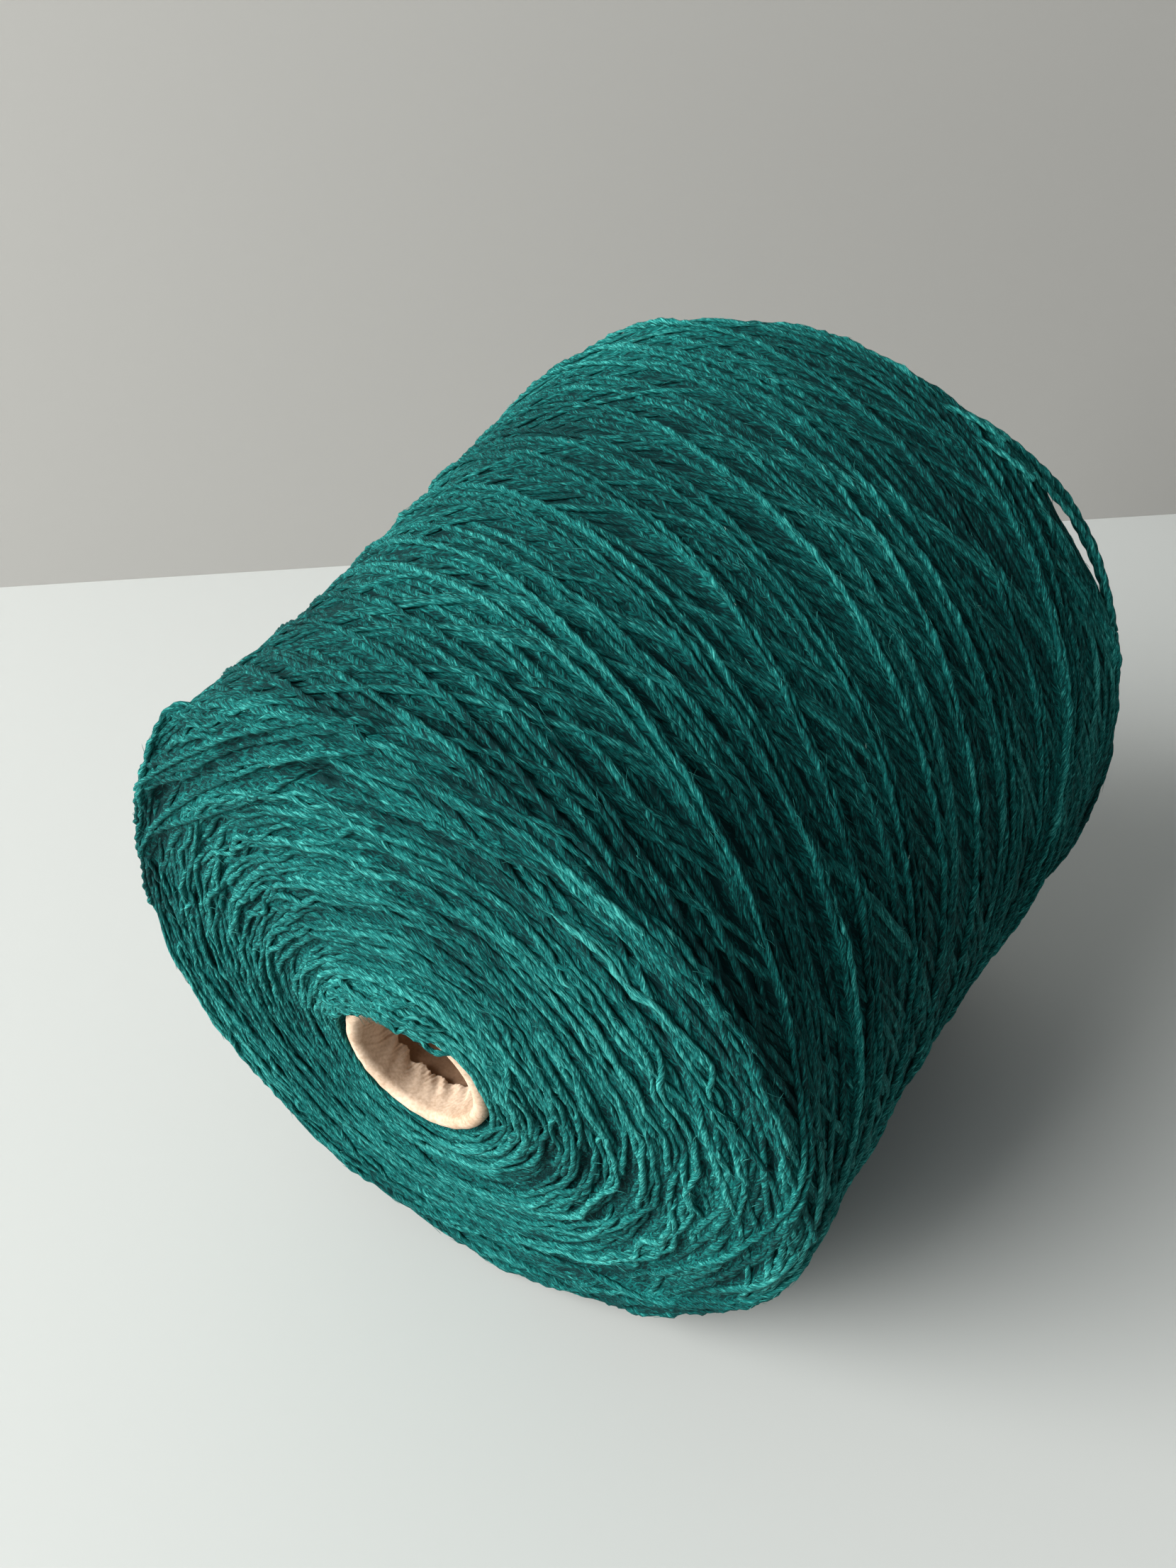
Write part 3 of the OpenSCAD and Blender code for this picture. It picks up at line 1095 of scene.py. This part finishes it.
@dataclass
class YarnPackage:
    """The wound yarn: its body, the turns on it and the fibres that stand off them."""

    outline: Outline
    place: PackageFrame
    lie: Lie
    finish: bpy.types.Material
    twist: float = 8 * MM
    # Depth below the plain surface at which the painted shade is fullest.
    painted_shade_full_depth: float = 2.4 * MM
    skin_sink: float = 0.12 * MM
    skin_sink_on_flank: float = 0.3 * MM
    skin_sink_on_shoulder: float = 0.34 * MM
    seed: int = 11

    def __post_init__(self) -> None:
        """Makes the bare bed, and the winder that lays the yarn on it."""
        self.bed = Bed(self.outline)
        self.winder = Winder(self.outline, self.bed)
        self.rng = np.random.default_rng(self.seed)

    def wind(self) -> None:
        """Lays every turn, lowest first, and levels the whole to the outline."""
        line, winder = self.outline, self.winder
        face = (0.4 * MM, line.face_end + 5 * MM)
        base = (line.flank_end + 16 * MM, line.total - 0.5 * MM)
        shoulder = (line.flank_end, line.flank_end + 20 * MM)
        self.face_bed = winder.arcs(*face, layers=1.4, sink=0.42, loose=0.7)
        self.base_bed = winder.arcs(*base, layers=1.2, sink=0.42, loose=0.8)
        self.flank_bed = winder.traverses(150, most_beside=1, sink=0.58, to_base=0.5)
        self.shoulder_bed = winder.arcs(*shoulder, layers=0.9, sink=0.42, loose=1.0)
        self.face_turns = winder.arcs(*face, layers=1.2, sink=0.36, loose=0.9)
        self.base_turns = winder.arcs(*base, layers=0.9, sink=0.34, loose=1.1)
        self.flank_turns = winder.traverses(90, most_beside=2, sink=0.54, to_base=0.55)
        self.face_top = winder.arcs(*face, layers=0.3, sink=0.25, loose=1.3)
        self.flank_top = winder.traverses(26, most_beside=2, sink=0.16, to_base=1.0)
        self.level = self.bed.level(share=0.93, width=7 * MM)
        laid = [*self.face_bed, *self.base_bed, *self.flank_bed, *self.shoulder_bed, *self.face_turns]
        laid += [*self.base_turns, *self.flank_turns, *self.face_top, *self.flank_top]
        for strand in laid:
            strand.height = self.settled(strand.turn, strand.reach, strand.height)
        for strand in self.face_bed:
            strand.height -= self.lie.slack(strand.turn, strand.reach)
        for strands, sink in ((self.flank_top, 0.3), (self.face_top, 0.1)):
            for strand in strands:
                strand.height -= sink * MM * self.lie.at_nose_shoulder(strand.reach)
        self.rim_turns = winder.over_rim(26)
        for strand in self.rim_turns:
            strand.height = strand.height + self.lie.stray(strand.turn, strand.reach)

    def settled(self, turn: np.ndarray, reach: np.ndarray, height: np.ndarray) -> np.ndarray:
        """Height off the plain surface once the whole is levelled and has strayed."""
        return height - self.level[self.bed.cells(turn, reach)] + self.lie.stray(turn, reach)

    def depth(self, height: np.ndarray) -> np.ndarray:
        """How much painted shade a height gives the yarn, from 0 at the plain surface to 1 at the depth
        of fullest painted shade.
        """
        return np.clip(-height / self.painted_shade_full_depth, 0, 1)

    def spin(
        self,
        name: str,
        strands: list[Strand],
        every: int,
        sides: int,
        girth: float = 1.0,
        plied: bool = False,
        finish: bpy.types.Material | None = None,
    ) -> list[bpy.types.Object]:
        """Turns laid strands into pieces, each closed once it passes a set number of triangles.
        Turns laid strands into pieces, each small enough to export.

        Args:
            name: name of the pieces, before their number.
            strands: the strands.
            every: fine steps from ring to ring.
            sides: sides of a ring.
            girth: width against the strands' own; their height is divided by it.
            plied: whether the two plies show in the shape.
            finish: the material, where it isn't the package's own.

        Returns:
            The pieces.
        """
        flat, room = 0.86, 4000
        pieces, parts = [], MeshParts()
        finish = finish or self.finish
        for strand in strands:
            coarse = strand.every(every)
            points, normals = self.outline.surface(coarse.turn, coarse.reach, coarse.height)
            path = self.lie.press(self.place.place(points), 0.5 * coarse.radius)
            along = np.concatenate([[0], np.cumsum(np.linalg.norm(np.diff(path, axis=0), axis=1))])
            # The depth attribute carries painted shade: strands that lie deeper come out darker.
            sweep(
                parts,
                path,
                self.place.to_row(normals),
                coarse.radius * girth,
                sides,
                FULL_TURN * along / self.twist if plied else None,
                flat / girth**2,
                tone=coarse.tone,
                depth=self.depth(coarse.height),
            )
            if parts.triangles() > MOST_TRIANGLES - room:
                pieces.append(self.close(name, len(pieces) + 1, parts, finish))
                parts = MeshParts()
        if parts.count:
            pieces.append(self.close(name, len(pieces) + 1, parts, finish))
        return pieces

    def close(
        self, name: str, number: int, parts: MeshParts, finish: bpy.types.Material
    ) -> bpy.types.Object:
        """Makes one numbered piece of yarn, pressed flat where it would go below what it lies on."""
        lowest = np.array([-np.inf, -np.inf, 0.03 * MM])
        parts.points = [np.maximum(points, lowest) for points in parts.points]
        return adopt(parts.build(f"{name}_{number}"), finish, "yarn_surface", "yarn_outer_build")

    def skin(self, turn: np.ndarray, reach: np.ndarray) -> np.ndarray:
        """Height of the short fibres that bridge the turns.

        They follow the map of the yarn, evened out over about 2 mm. They lie deeper on the flank than on
        the nose face, and deepest on the nose shoulder.
        """
        ease, slack_share = 15 * MM, 0.6
        soft = self.bed.evened(self.bed.heights, 2, 2)
        cells = self.bed.cells(turn, reach)
        relief = soft[cells] - self.level[cells]
        on_shoulder = self.lie.at_nose_shoulder(reach)
        on_flank = smooth_step((reach - self.outline.face_end) / ease)
        height = relief - self.skin_sink - self.skin_sink_on_flank * on_flank
        height = height - self.skin_sink_on_shoulder * on_shoulder
        return height + self.lie.stray(turn, reach) - slack_share * self.lie.slack(turn, reach)

    def body(self, felt: bpy.types.Material) -> bpy.types.Object:
        """The yarn under the turns, with its felted skin, closed round the core."""
        line = self.outline
        rounds, outside, inside = 440, 200, 12
        gap, least_height, map_step, nose_gap = 0.1 * MM, 0.4 * MM, 5 * MM, 6 * MM
        reach = np.linspace(0, line.total, outside)
        turn = np.linspace(0, FULL_TURN, rounds + 1)[:-1] - math.pi / 2
        grid_turn, grid_reach = np.meshgrid(turn, reach, indexing="ij")
        height = self.skin(grid_turn, grid_reach)
        shell, _ = line.surface(grid_turn, grid_reach, height)
        level = np.linspace(line.base_clear, line.core_len - nose_gap, inside)
        bore_r = line.core_radius(level) + gap
        flat = np.broadcast_to(level, (rounds, inside))
        bore = np.stack([np.cos(turn)[:, None] * bore_r, np.sin(turn)[:, None] * bore_r, flat], -1)
        loop = np.concatenate([shell, bore], 1)
        down = np.concatenate([reach, line.total + np.arange(1, inside + 2) * map_step])
        # Painted shade: the skin darkens with its depth, and the bore side against the core takes the
        # fullest painted shade.
        depth = np.concatenate([self.depth(height), np.ones((rounds, inside))], 1)
        parts = MeshParts()
        grid = self.lie.press(self.place.place(loop.reshape(-1, 3)), least_height).reshape(loop.shape)
        add_ring_grid(parts, grid, FULL_TURN * line.typical_turn_r, down, depth)
        piece = parts.build("yarn_body")
        return adopt(piece, felt, "yarn_build", "yarn_inner_build", "yarn_middle_build")

    def fibres(
        self,
        name: str,
        count: int,
        length: tuple[float, float],
        stand: tuple[float, float],
        finish: bpy.types.Material,
    ) -> list[bpy.types.Object]:
        """Short fibres on the turns, each a parabola that leaves its strand and bends back to it.

        Every fibre is a three-sided tube of four rings, and all are worked out together. Most of those
        whose strand lies deep are left out, and so are those that would touch what the package lies on.

        Args:
            name: name of the pieces, before their number.
            count: how many fibres are tried; those that are buried are left out.
            length: least and greatest length.
            stand: least and greatest share of its length by which a fibre stands off.
            finish: the material.

        Returns:
            The pieces.
        """
        rng = self.rng
        rings, sides, least_height = 4, 3, 0.2 * MM
        thickness = np.array([0.055, 0.06, 0.05, 0.025]) * MM
        hosts = [*self.flank_top, *self.flank_turns, *self.flank_bed, *self.rim_turns]
        hosts += [*self.face_turns, *self.face_top, *self.base_turns, *self.shoulder_bed, *self.face_bed]
        ends = np.cumsum([len(host.turn) for host in hosts])
        turn = np.concatenate([host.turn for host in hosts])
        reach = np.concatenate([host.reach for host in hosts])
        height = np.concatenate([host.height for host in hosts])
        radius = np.concatenate([host.radius for host in hosts])
        pick = rng.integers(0, ends[-1], count)
        in_sight = height[pick] > rng.normal(-0.9, 0.35, count) * MM
        pick = pick[~np.isin(pick, ends - 1) & in_sight]
        at, normal = self.outline.surface(turn[pick], reach[pick], height[pick])
        after, _ = self.outline.surface(turn[pick + 1], reach[pick + 1], height[pick + 1])
        kept = len(pick)
        forward = unit(after - at) * rng.choice([-1, 1], kept)[:, None]
        side = np.cross(forward, normal)
        long = rng.uniform(*length, kept)[:, None]
        rise = normal * rng.uniform(*stand, kept)[:, None]
        lean = unit(forward + rise + side * rng.normal(0, 0.35, kept)[:, None])
        bend = side * rng.normal(0, 0.4, kept)[:, None] - normal * rng.uniform(*stand, kept)[:, None]
        around = rng.uniform(-0.9, 0.9, kept)[:, None]
        root = at + radius[pick][:, None] * (normal * np.cos(around) * 0.8 + side * np.sin(around))
        t = np.linspace(0, 1, rings)[None, :, None]
        path = root[:, None] + long[:, None] * (lean[:, None] * t + bend[:, None] * t**2)
        path = self.place.place(path.reshape(-1, 3)).reshape(path.shape)
        clear = path[:, :, 2].min(1) > least_height
        path, side, normal = path[clear], self.place.to_row(side[clear]), self.place.to_row(normal[clear])
        thick = thickness * rng.uniform(0.7, 1.2, len(path))[:, None]
        corner = np.arange(sides) * FULL_TURN / sides
        across = np.cos(corner)[:, None] * normal[:, None] + np.sin(corner)[:, None] * side[:, None]
        shells = path[:, :, None] + thick[:, :, None, None] * across[:, None]
        most = MOST_TRIANGLES // (2 * sides * (rings - 1) + 2)
        starts = enumerate(range(0, len(shells), most), 1)
        return [self.bundle(f"{name}_{number}", shells[at : at + most], finish) for number, at in starts]

    def bundle(self, name: str, shells: np.ndarray, finish: bpy.types.Material) -> bpy.types.Object:
        """One piece of many three-sided fibres.

        Args:
            name: name of the piece.
            shells: corners of every fibre, by fibre, ring and corner.
            finish: the material.

        Returns:
            The piece.
        """
        count, rings, sides = shells.shape[:3]
        i, k = np.meshgrid(np.arange(rings - 1), np.arange(sides), indexing="ij")
        after = (k + 1) % sides
        low, high = i * sides, (i + 1) * sides
        quads = np.stack([low + k, low + after, high + after, high + k], -1)
        last = (rings - 1) * sides
        caps = np.array([[2, 1, 0], [last, last + 1, last + 2]])
        map_step = 0.3 * MM
        first = np.arange(count)[:, None, None] * rings * sides
        u = np.stack([i, i, i + 1, i + 1], -1) * map_step
        v = np.stack([k, k + 1, k + 1, k], -1) / sides
        uv = np.stack([u, v], -1).reshape(-1, 4, 2)
        quad_uv = np.broadcast_to(uv, (count, *uv.shape))
        parts = MeshParts()
        parts.add(
            shells.reshape(-1, 3),
            (quads.reshape(-1, 4) + first).reshape(-1, 4),
            (caps + first).reshape(-1, 3),
            quad_uv.reshape(-1, 4, 2),
            np.zeros((2 * count, 3, 2)),
            tone=1.0,
            depth=0.0,
        )
        return adopt(parts.build(name), finish, "yarn_loose")


def add_ring_grid(
    parts: MeshParts, grid: np.ndarray, girth: float, down: np.ndarray, depth: np.ndarray
) -> None:
    """Adds a closed ring of closed loops.

    Args:
        parts: mesh that the ring joins.
        grid: points; the first way of the grid goes round the axis, the second round the loop.
        girth: length of the map once round the axis.
        down: place on the map of each point of the loop, and of the first again.
        depth: depth attribute of the points, which the yarn's finishes turn into painted shade.
    """
    rounds, across = grid.shape[:2]
    i, k = np.meshgrid(np.arange(rounds), np.arange(across), indexing="ij")
    i1, k1 = (i + 1) % rounds, (k + 1) % across
    low, high = i * across, i1 * across
    quads = np.stack([low + k, low + k1, high + k1, high + k], -1).reshape(-1, 4)
    u = np.stack([i, i, i + 1, i + 1], -1) * (girth / rounds)
    v = down[np.stack([k, k + 1, k + 1, k], -1)]
    no_tris = np.empty((0, 3), int)
    uv = np.stack([u, v], -1).reshape(-1, 4, 2)
    no_uv = np.empty((0, 3, 2))
    parts.add(grid.reshape(-1, 3), quads, no_tris, uv, no_uv, tone=0.5, depth=depth.ravel())


@dataclass
class PaperCore:
    """The paper core: its plies from the CAD model, and the crinkled lip turned in at its nose."""

    outline: Outline
    place: PackageFrame
    lip_t: float = 1.0 * MM
    lip_depth: float = 9 * MM
    lean: float = 0.4 * MM
    slant: float = 0.22
    ragged: float = 0.9 * MM
    crinkle: float = 0.75 * MM
    rim_waver: float = 0.13 * MM
    seed: int = 5

    def dress_plies(
        self, outer: bpy.types.Material, board: bpy.types.Material, inner: bpy.types.Material
    ) -> None:
        """Gives the plies their finishes."""
        plies = (("core_outer_ply", outer), ("core_board", board), ("core_inner_ply", inner))
        for name, material in plies:
            node = frame["nodes"][name]
            if not node.material_slots:
                node.data.materials.append(material)
            for place in node.material_slots:
                place.material = material
            log.info("%s: kept, %s", name, material.name)

    def lip(self, material: bpy.types.Material) -> bpy.types.Object:
        """The rolled rim and the lip.

        Across, the loop goes over the rim as a half circle, down the throat to a ragged edge, round the
        edge and back up behind. Its folds are a broad and a fine sum of sines of an angle that slants
        with the way down, and grow towards the free edge as the square of the way down. Smaller sums make
        the rim waver and the edge ragged.

        Args:
            material: its finish.

        Returns:
            The piece.
        """
        line, rng = self.outline, np.random.default_rng(self.seed)
        rounds, across, under, over_rim = 760, 30, 4, 15
        turn = np.linspace(0, FULL_TURN, rounds + 1)[:-1]
        centre_r = line.nose_od / 2 - line.fold
        over = np.linspace(0, math.pi, over_rim)
        rim_r = centre_r + line.fold * np.cos(over)
        rim_z = line.fold_z + line.fold * np.sin(over)
        down = np.linspace(0, 1, across + 1)[1:]
        throat = centre_r - line.fold
        ragged = self.ragged * (self.uneven(rng, turn, 5, 30) + 0.3 * self.uneven(rng, turn, 40, 120))
        depth = self.lip_depth - line.fold - 0.6 * MM + ragged
        around = turn[:, None] + self.slant * down[None, :] ** 2
        broad = 0.8 * self.uneven(rng, around, 7, 34)
        fine = 0.34 * self.uneven(rng, around - 0.5 * down[None, :], 36, 110)
        creases = self.crinkle * (broad + fine) * (0.12 + 0.88 * down**2)[None, :]
        front_r = throat + self.lean * down**2 + creases
        front_z = line.fold_z - down[None, :] * depth[:, None]
        behind = down[::-1]
        back_r = throat + self.lip_t * 0.7 + self.lean * behind**2 + creases[:, ::-1]
        back_z = line.fold_z - behind[None, :] * depth[:, None]
        level = np.linspace(line.fold_z - 2 * MM, line.fold_z, under)[:-1]
        under_r = np.broadcast_to(line.core_radius(level) - 0.02 * MM, (rounds, under - 1))
        under_z = np.broadcast_to(level, (rounds, under - 1))
        waver = self.rim_waver * self.uneven(rng, turn, 5, 40)[:, None] * np.sin(over)[None, :]
        r = np.concatenate([under_r, rim_r + waver, front_r, back_r], 1)
        z = np.concatenate([under_z, rim_z + waver * 0.6, front_z, back_z], 1)
        grid = np.stack([r * np.cos(turn)[:, None], r * np.sin(turn)[:, None], z], -1)
        parts = MeshParts()
        down = np.arange(grid.shape[1] + 1) * 0.5 * MM
        grid = self.place.place(grid.reshape(-1, 3)).reshape(grid.shape)
        add_ring_grid(parts, grid, FULL_TURN * line.nose_od / 2, down, np.zeros(grid.shape[:2]))
        return adopt(parts.build("crinkled_lip"), material, "kraft_lip", "nose_lip")

    @staticmethod
    def uneven(rng: np.random.Generator, turn: np.ndarray, low: int, high: int) -> np.ndarray:
        """Sum of sines round the core with uneven phases and sizes, scaled so that its peak is one."""
        waves = np.arange(low, high)
        sizes = rng.normal(0, 1, len(waves)) / np.sqrt(waves)
        phases = rng.random(len(waves)) * FULL_TURN
        sines = zip(sizes, waves, phases, strict=True)
        total = sum(size * np.sin(wave * turn + phase) for size, wave, phase in sines)
        return total / np.abs(total).max()


@dataclass
class SlippedTurns:
    """Three turns that have slipped off the base shoulder, each held at both ends by the winding.

    A route's point is the angle round the package, the angle round the base shoulder and the height
    off it, in degrees and millimetres.
    """

    outline: Outline
    place: PackageFrame
    strand_d: float = 1.4 * MM
    twist: float = 8 * MM
    routes: tuple = (
        ((50, 14, 1), (46, 18, 1.5), (42, 22, 2), (38, 26, 2.5), (34, 28, 2.5), (30, 28, 2.5),
         (26, 26, 2), (22, 23, 1.5), (18, 20, 1)),
        ((48, 24, 1), (44, 29, 1), (40, 34, 1.5), (36, 37, 2), (32, 38, 2), (28, 36, 2),
         (24, 32, 1.5), (20, 27, 1)),
        ((44, 8, 1), (40, 13, 1), (36, 17, 1.5), (32, 19, 2), (28, 18, 2), (24, 15, 1.5),
         (20, 11, 1)),
    )
    held_length: float = 13.0
    held_sink: float = 4.5

    def path(self, route: tuple, steps: int) -> np.ndarray:
        """Points in the shared frame on the smooth curve through a route.

        The curve is a Catmull-Rom cubic between each two points of the route.

        Args:
            route: the route's points.
            steps: steps between two points of the route.

        Returns:
            The points along it.
        """
        around, shoulder, off = np.array(route, float).T
        around, shoulder, off = np.radians(around), np.radians(shoulder), off * MM
        r = self.outline.base_round + off
        out = self.outline.base_c[0] + r * np.cos(shoulder)
        level = self.outline.base_c[1] - r * np.sin(shoulder)
        p = np.stack([out * np.cos(around), out * np.sin(around), level], -1)
        a, b = np.concatenate([p[:1], p[:-2]]), p[:-1]
        c, d = p[1:], np.concatenate([p[2:], p[-1:]])
        t = (np.arange(steps) / steps)[None, :, None]
        a, b, c, d = (x[:, None, :] for x in (a, b, c, d))
        squared, cubed = (2 * a - 5 * b + 4 * c - d) * t**2, (3 * b - a - 3 * c + d) * t**3
        curve = 0.5 * (2 * b + (c - a) * t + squared + cubed)
        return self.place.place(np.concatenate([curve.reshape(-1, 3), p[-1:]]))

    def held_ends(self) -> list[Strand]:
        """The yarn beyond both ends of each slipped turn, going down into the winding.

        Each runs on round the package for some degrees from just inside the end. It follows the slope of
        the route there ever less, and its height falls by the square of the way along.

        Returns:
            The strands, with their final heights.
        """
        held, t = [], np.linspace(0, 1, 40)
        for route in self.routes:
            for end, inner in ((route[0], route[2]), (route[-1], route[-3])):
                around = end[0] + np.sign(end[0] - inner[0]) * (self.held_length * t - 0.4)
                shoulder = end[1] + (end[1] - inner[1]) * (t - t**2 / 2) * 0.8
                reach = self.outline.flank_end + np.radians(shoulder) * self.outline.base_round
                height = (end[2] - self.held_sink * t**2) * MM
                radius = np.full(len(t), self.strand_d * 0.45)
                held.append(Strand(np.radians(around), reach, radius, 0.5, height))
        return held

    def build(self, material: bpy.types.Material) -> None:
        """Makes each slipped turn as a cord of its real length."""
        steps, sides, girth = 12, 12, 0.9
        centre = self.place.place(np.array([0.0, 0.0, self.outline.base_c[1]]))
        for number, route in enumerate(self.routes, 1):
            path = self.path(route, steps)
            lengths = np.linalg.norm(np.diff(path, axis=0), axis=1)
            along = np.concatenate([[0], np.cumsum(lengths)])
            rng = np.random.default_rng(number)
            radius = self.strand_d / 2 * (1 + wander(rng, len(path), 0.5, 5, 0.05)) * girth
            parts = MeshParts()
            lobes = FULL_TURN * along / self.twist
            # The cords carry a depth value of 0.2: a little painted shade, though they stand off the
            # winding.
            sweep(parts, path, unit(path - centre), radius, sides, lobes, tone=0.5, depth=0.2)
            piece = parts.build(f"loose_turn_{number}")
            adopt(piece, material, "yarn_loose", f"slipped_turn_{number}")
            log.info("%s: %.1f mm of yarn", piece.name, lengths.sum() / MM)


@dataclass
class Studio:
    """Pale table and wall, one soft window light, a sky and the camera."""

    azimuth: float = math.radians(33.82)
    elevation: float = math.radians(32.83)
    roll: float = math.radians(-3.81)
    eye: tuple[float, float, float] = (0.116, -0.193, 0.2336)
    lens: float = 27.0
    wall_bearing: float = math.radians(33.2)
    wall_distance: float = 0.364
    wall_height: float = 1.6
    half_width: float = 2.0
    table_share: float = 9.0
    table_colour: tuple[float, float, float] = (0.47, 0.49, 0.48)
    wall_colour: tuple[float, float, float] = (0.295, 0.293, 0.28)
    window_at: tuple[float, float, float] = (-1.32, -1.98, 1.33)
    window_size: float = 2.1
    window_power: float = 202.0
    window_colour: tuple[float, float, float] = (1.0, 0.985, 0.96)
    package_middle: tuple[float, float, float] = (0, 0, 0.08)
    sky_brightest: tuple[float, float, float] = (-0.2, 0.1, 0.95)
    sky_colour: tuple[float, float, float] = (0.92, 0.97, 1.0)
    sky_strength: float = 0.5

    def camera(self) -> None:
        """Sets the camera up, level but for a slight roll."""
        data = bpy.data.cameras.new("camera")
        data.lens = self.lens
        data.sensor_width = 36
        data.clip_start, data.clip_end = 0.005, 20
        level = np.array([math.cos(self.azimuth), math.sin(self.azimuth), 0.0])
        flat = np.array([-math.sin(self.azimuth), math.cos(self.azimuth), 0.0])
        ahead = flat * math.cos(self.elevation) - np.array([0, 0, math.sin(self.elevation)])
        above = np.cross(level, ahead)
        right = math.cos(self.roll) * level + math.sin(self.roll) * above
        up = -math.sin(self.roll) * level + math.cos(self.roll) * above
        camera = bpy.data.objects.new("camera", data)
        camera.matrix_world = self.pose(right, up, -ahead, np.array(self.eye))
        bpy.context.scene.collection.objects.link(camera)
        bpy.context.scene.camera = camera

    @staticmethod
    def pose(right: np.ndarray, up: np.ndarray, back: np.ndarray, place: np.ndarray) -> Matrix:
        """Matrix of an object that has these directions and this place."""
        return Matrix([*np.stack([right, up, back, place], -1).tolist(), [0, 0, 0, 1]])

    def plane(self, name: str, corners: list[np.ndarray], colour: tuple, rough: float) -> None:
        """One flat, plain face of the stage."""
        material, _, shader = new_material(name)
        shader.inputs["Base Color"].default_value = (*colour, 1)
        shader.inputs["Roughness"].default_value = rough
        mesh = bpy.data.meshes.new(name)
        mesh.from_pydata([tuple(c) for c in corners], [], [(0, 1, 2, 3)])
        mesh.materials.append(material)
        piece = bpy.data.objects.new(name, mesh)
        bpy.context.scene.collection.objects.link(piece)

    def stage(self) -> None:
        """The table and the wall behind it."""
        bearing = np.array([math.cos(self.wall_bearing), math.sin(self.wall_bearing), 0])
        away = np.array([-bearing[1], bearing[0], 0]) * self.wall_distance
        up = np.array([0, 0, self.wall_height])
        left, right = away - bearing * self.half_width, away + bearing * self.half_width
        near = away * self.table_share
        self.plane("table", [left, left - near, right - near, right], self.table_colour, 0.55)
        self.plane("wall", [left, right, right + up, left + up], self.wall_colour, 0.8)

    def window(self) -> None:
        """Soft daylight from the left: a square area light that faces the package."""
        place = np.array(self.window_at)
        data = bpy.data.lights.new("window", "AREA")
        data.shape = "SQUARE"
        data.size = self.window_size
        data.energy = self.window_power
        data.color = self.window_colour
        back = unit(place - np.array(self.package_middle))
        right = unit(np.cross([0, 0, 1], back))
        lamp = bpy.data.objects.new("window", data)
        lamp.matrix_world = self.pose(right, np.cross(back, right), back, place)
        bpy.context.scene.collection.objects.link(lamp)

    def sky(self) -> None:
        """A weak sky, brightest nearly overhead.

        Its strength goes with the cosine of the angle from its brightest direction, and never falls below
        a fifth of the most.
        """
        world = bpy.data.worlds.new("room")
        world.use_nodes = True
        tree = Tree(world.node_tree)
        back = world.node_tree.nodes["Background"]
        back.inputs[0].default_value = (*self.sky_colour, 1)
        towards = tree.node("ShaderNodeVectorMath", operation="DOT_PRODUCT")
        tree.join(tree.node("ShaderNodeTexCoord").outputs["Generated"], towards.inputs[0])
        towards.inputs[1].default_value = tuple(unit(np.array(self.sky_brightest)))
        facing = tree.math("MAXIMUM", tree.math("MULTIPLY_ADD", towards.outputs["Value"], 0.9, 0.1), 0.2)
        tree.join(tree.math("MULTIPLY", facing, self.sky_strength), back.inputs[1])
        bpy.context.scene.world = world

    def set_up(self) -> None:
        """Puts up the table, the wall and the lights, and shows colours as they are."""
        self.stage()
        self.window()
        self.sky()
        bpy.context.scene.view_settings.view_transform = "Standard"


def main() -> None:
    """Builds the cone piece by piece, stages it and reports each piece."""
    logging.basicConfig(level=logging.INFO, format="%(message)s")
    place = PackageFrame.from_record(frame["record"])
    outline = Outline()
    studio = Studio()
    studio.camera()
    ply_twist, mottle = ply_twist_group(), mottle_group()
    yarn = YarnFinish("teal yarn").material(ply_twist, mottle)
    lint = YarnFinish("teal lint", brighter=0.2, lobe_share=0, fibre_share=0.9)
    lint = lint.material(ply_twist, mottle)
    slipped = SlippedTurns(outline, place)
    slipped.build(yarn)
    package = YarnPackage(outline, place, Lie(outline, place), yarn)
    package.wind()
    package.body(FeltFinish("teal felt").material(mottle))
    package.spin("flank_bed", package.flank_bed, every=10, sides=5, girth=1.3)
    package.spin("flank_turns", package.flank_turns, every=4, sides=6, girth=1.2)
    ridge = YarnFinish("teal ridge yarn", brighter=-0.09, lobe_share=0.1).material(ply_twist, mottle)
    package.spin(
        "flank_top", package.flank_top, every=2, sides=7, girth=0.88, plied=True, finish=ridge
    )
    # The nose face's yarn is a lighter copy of the teal yarn: painted light on the lit face.
    face_yarn_painted_light = YarnFinish("teal face yarn", brighter=0.055).material(ply_twist, mottle)
    face_turns = package.face_bed + package.face_turns + package.face_top
    package.spin("nose_turns", face_turns, every=3, sides=6, finish=face_yarn_painted_light)
    package.spin("rim_turns", package.rim_turns, every=1, sides=7, plied=True)
    package.spin("held_ends", slipped.held_ends(), every=1, sides=9, plied=True)
    base_turns = package.base_bed + package.base_turns + package.shoulder_bed
    package.spin("base_turns", base_turns, every=6, sides=5, girth=1.1)
    package.fibres("lint", 64000, (1.2 * MM, 2.8 * MM), (0.0, 0.1), lint)
    package.fibres("loose_fibres", 2600, (0.8 * MM, 2.2 * MM), (0.4, 1.2), lint)
    pale = [(0.16, 0.3, 0.27), (0.32, 0.5, 0.45), (0.6, 0.74, 0.68)]
    fleck = YarnFinish("pale fleck", *pale, lobe_share=0, fibre_share=0.9)
    fleck = fleck.material(ply_twist, mottle)
    package.fibres("pale_flecks", 700, (0.5 * MM, 1.1 * MM), (0.1, 0.5), fleck)
    core = PaperCore(outline, place)
    core.dress_plies(
        KraftFinish("outer kraft", (0.42, 0.27, 0.155), (0.66, 0.48, 0.32)).material(mottle),
        KraftFinish("core board", (0.22, 0.14, 0.085), (0.36, 0.25, 0.16)).material(mottle),
        KraftFinish("inner kraft", (0.2, 0.115, 0.065), (0.34, 0.21, 0.13)).material(mottle),
    )
    core.lip(KraftFinish("lip kraft", (0.38, 0.255, 0.165), (0.68, 0.53, 0.4)).material(mottle))
    studio.set_up()


if __name__ == "__main__":
    main()
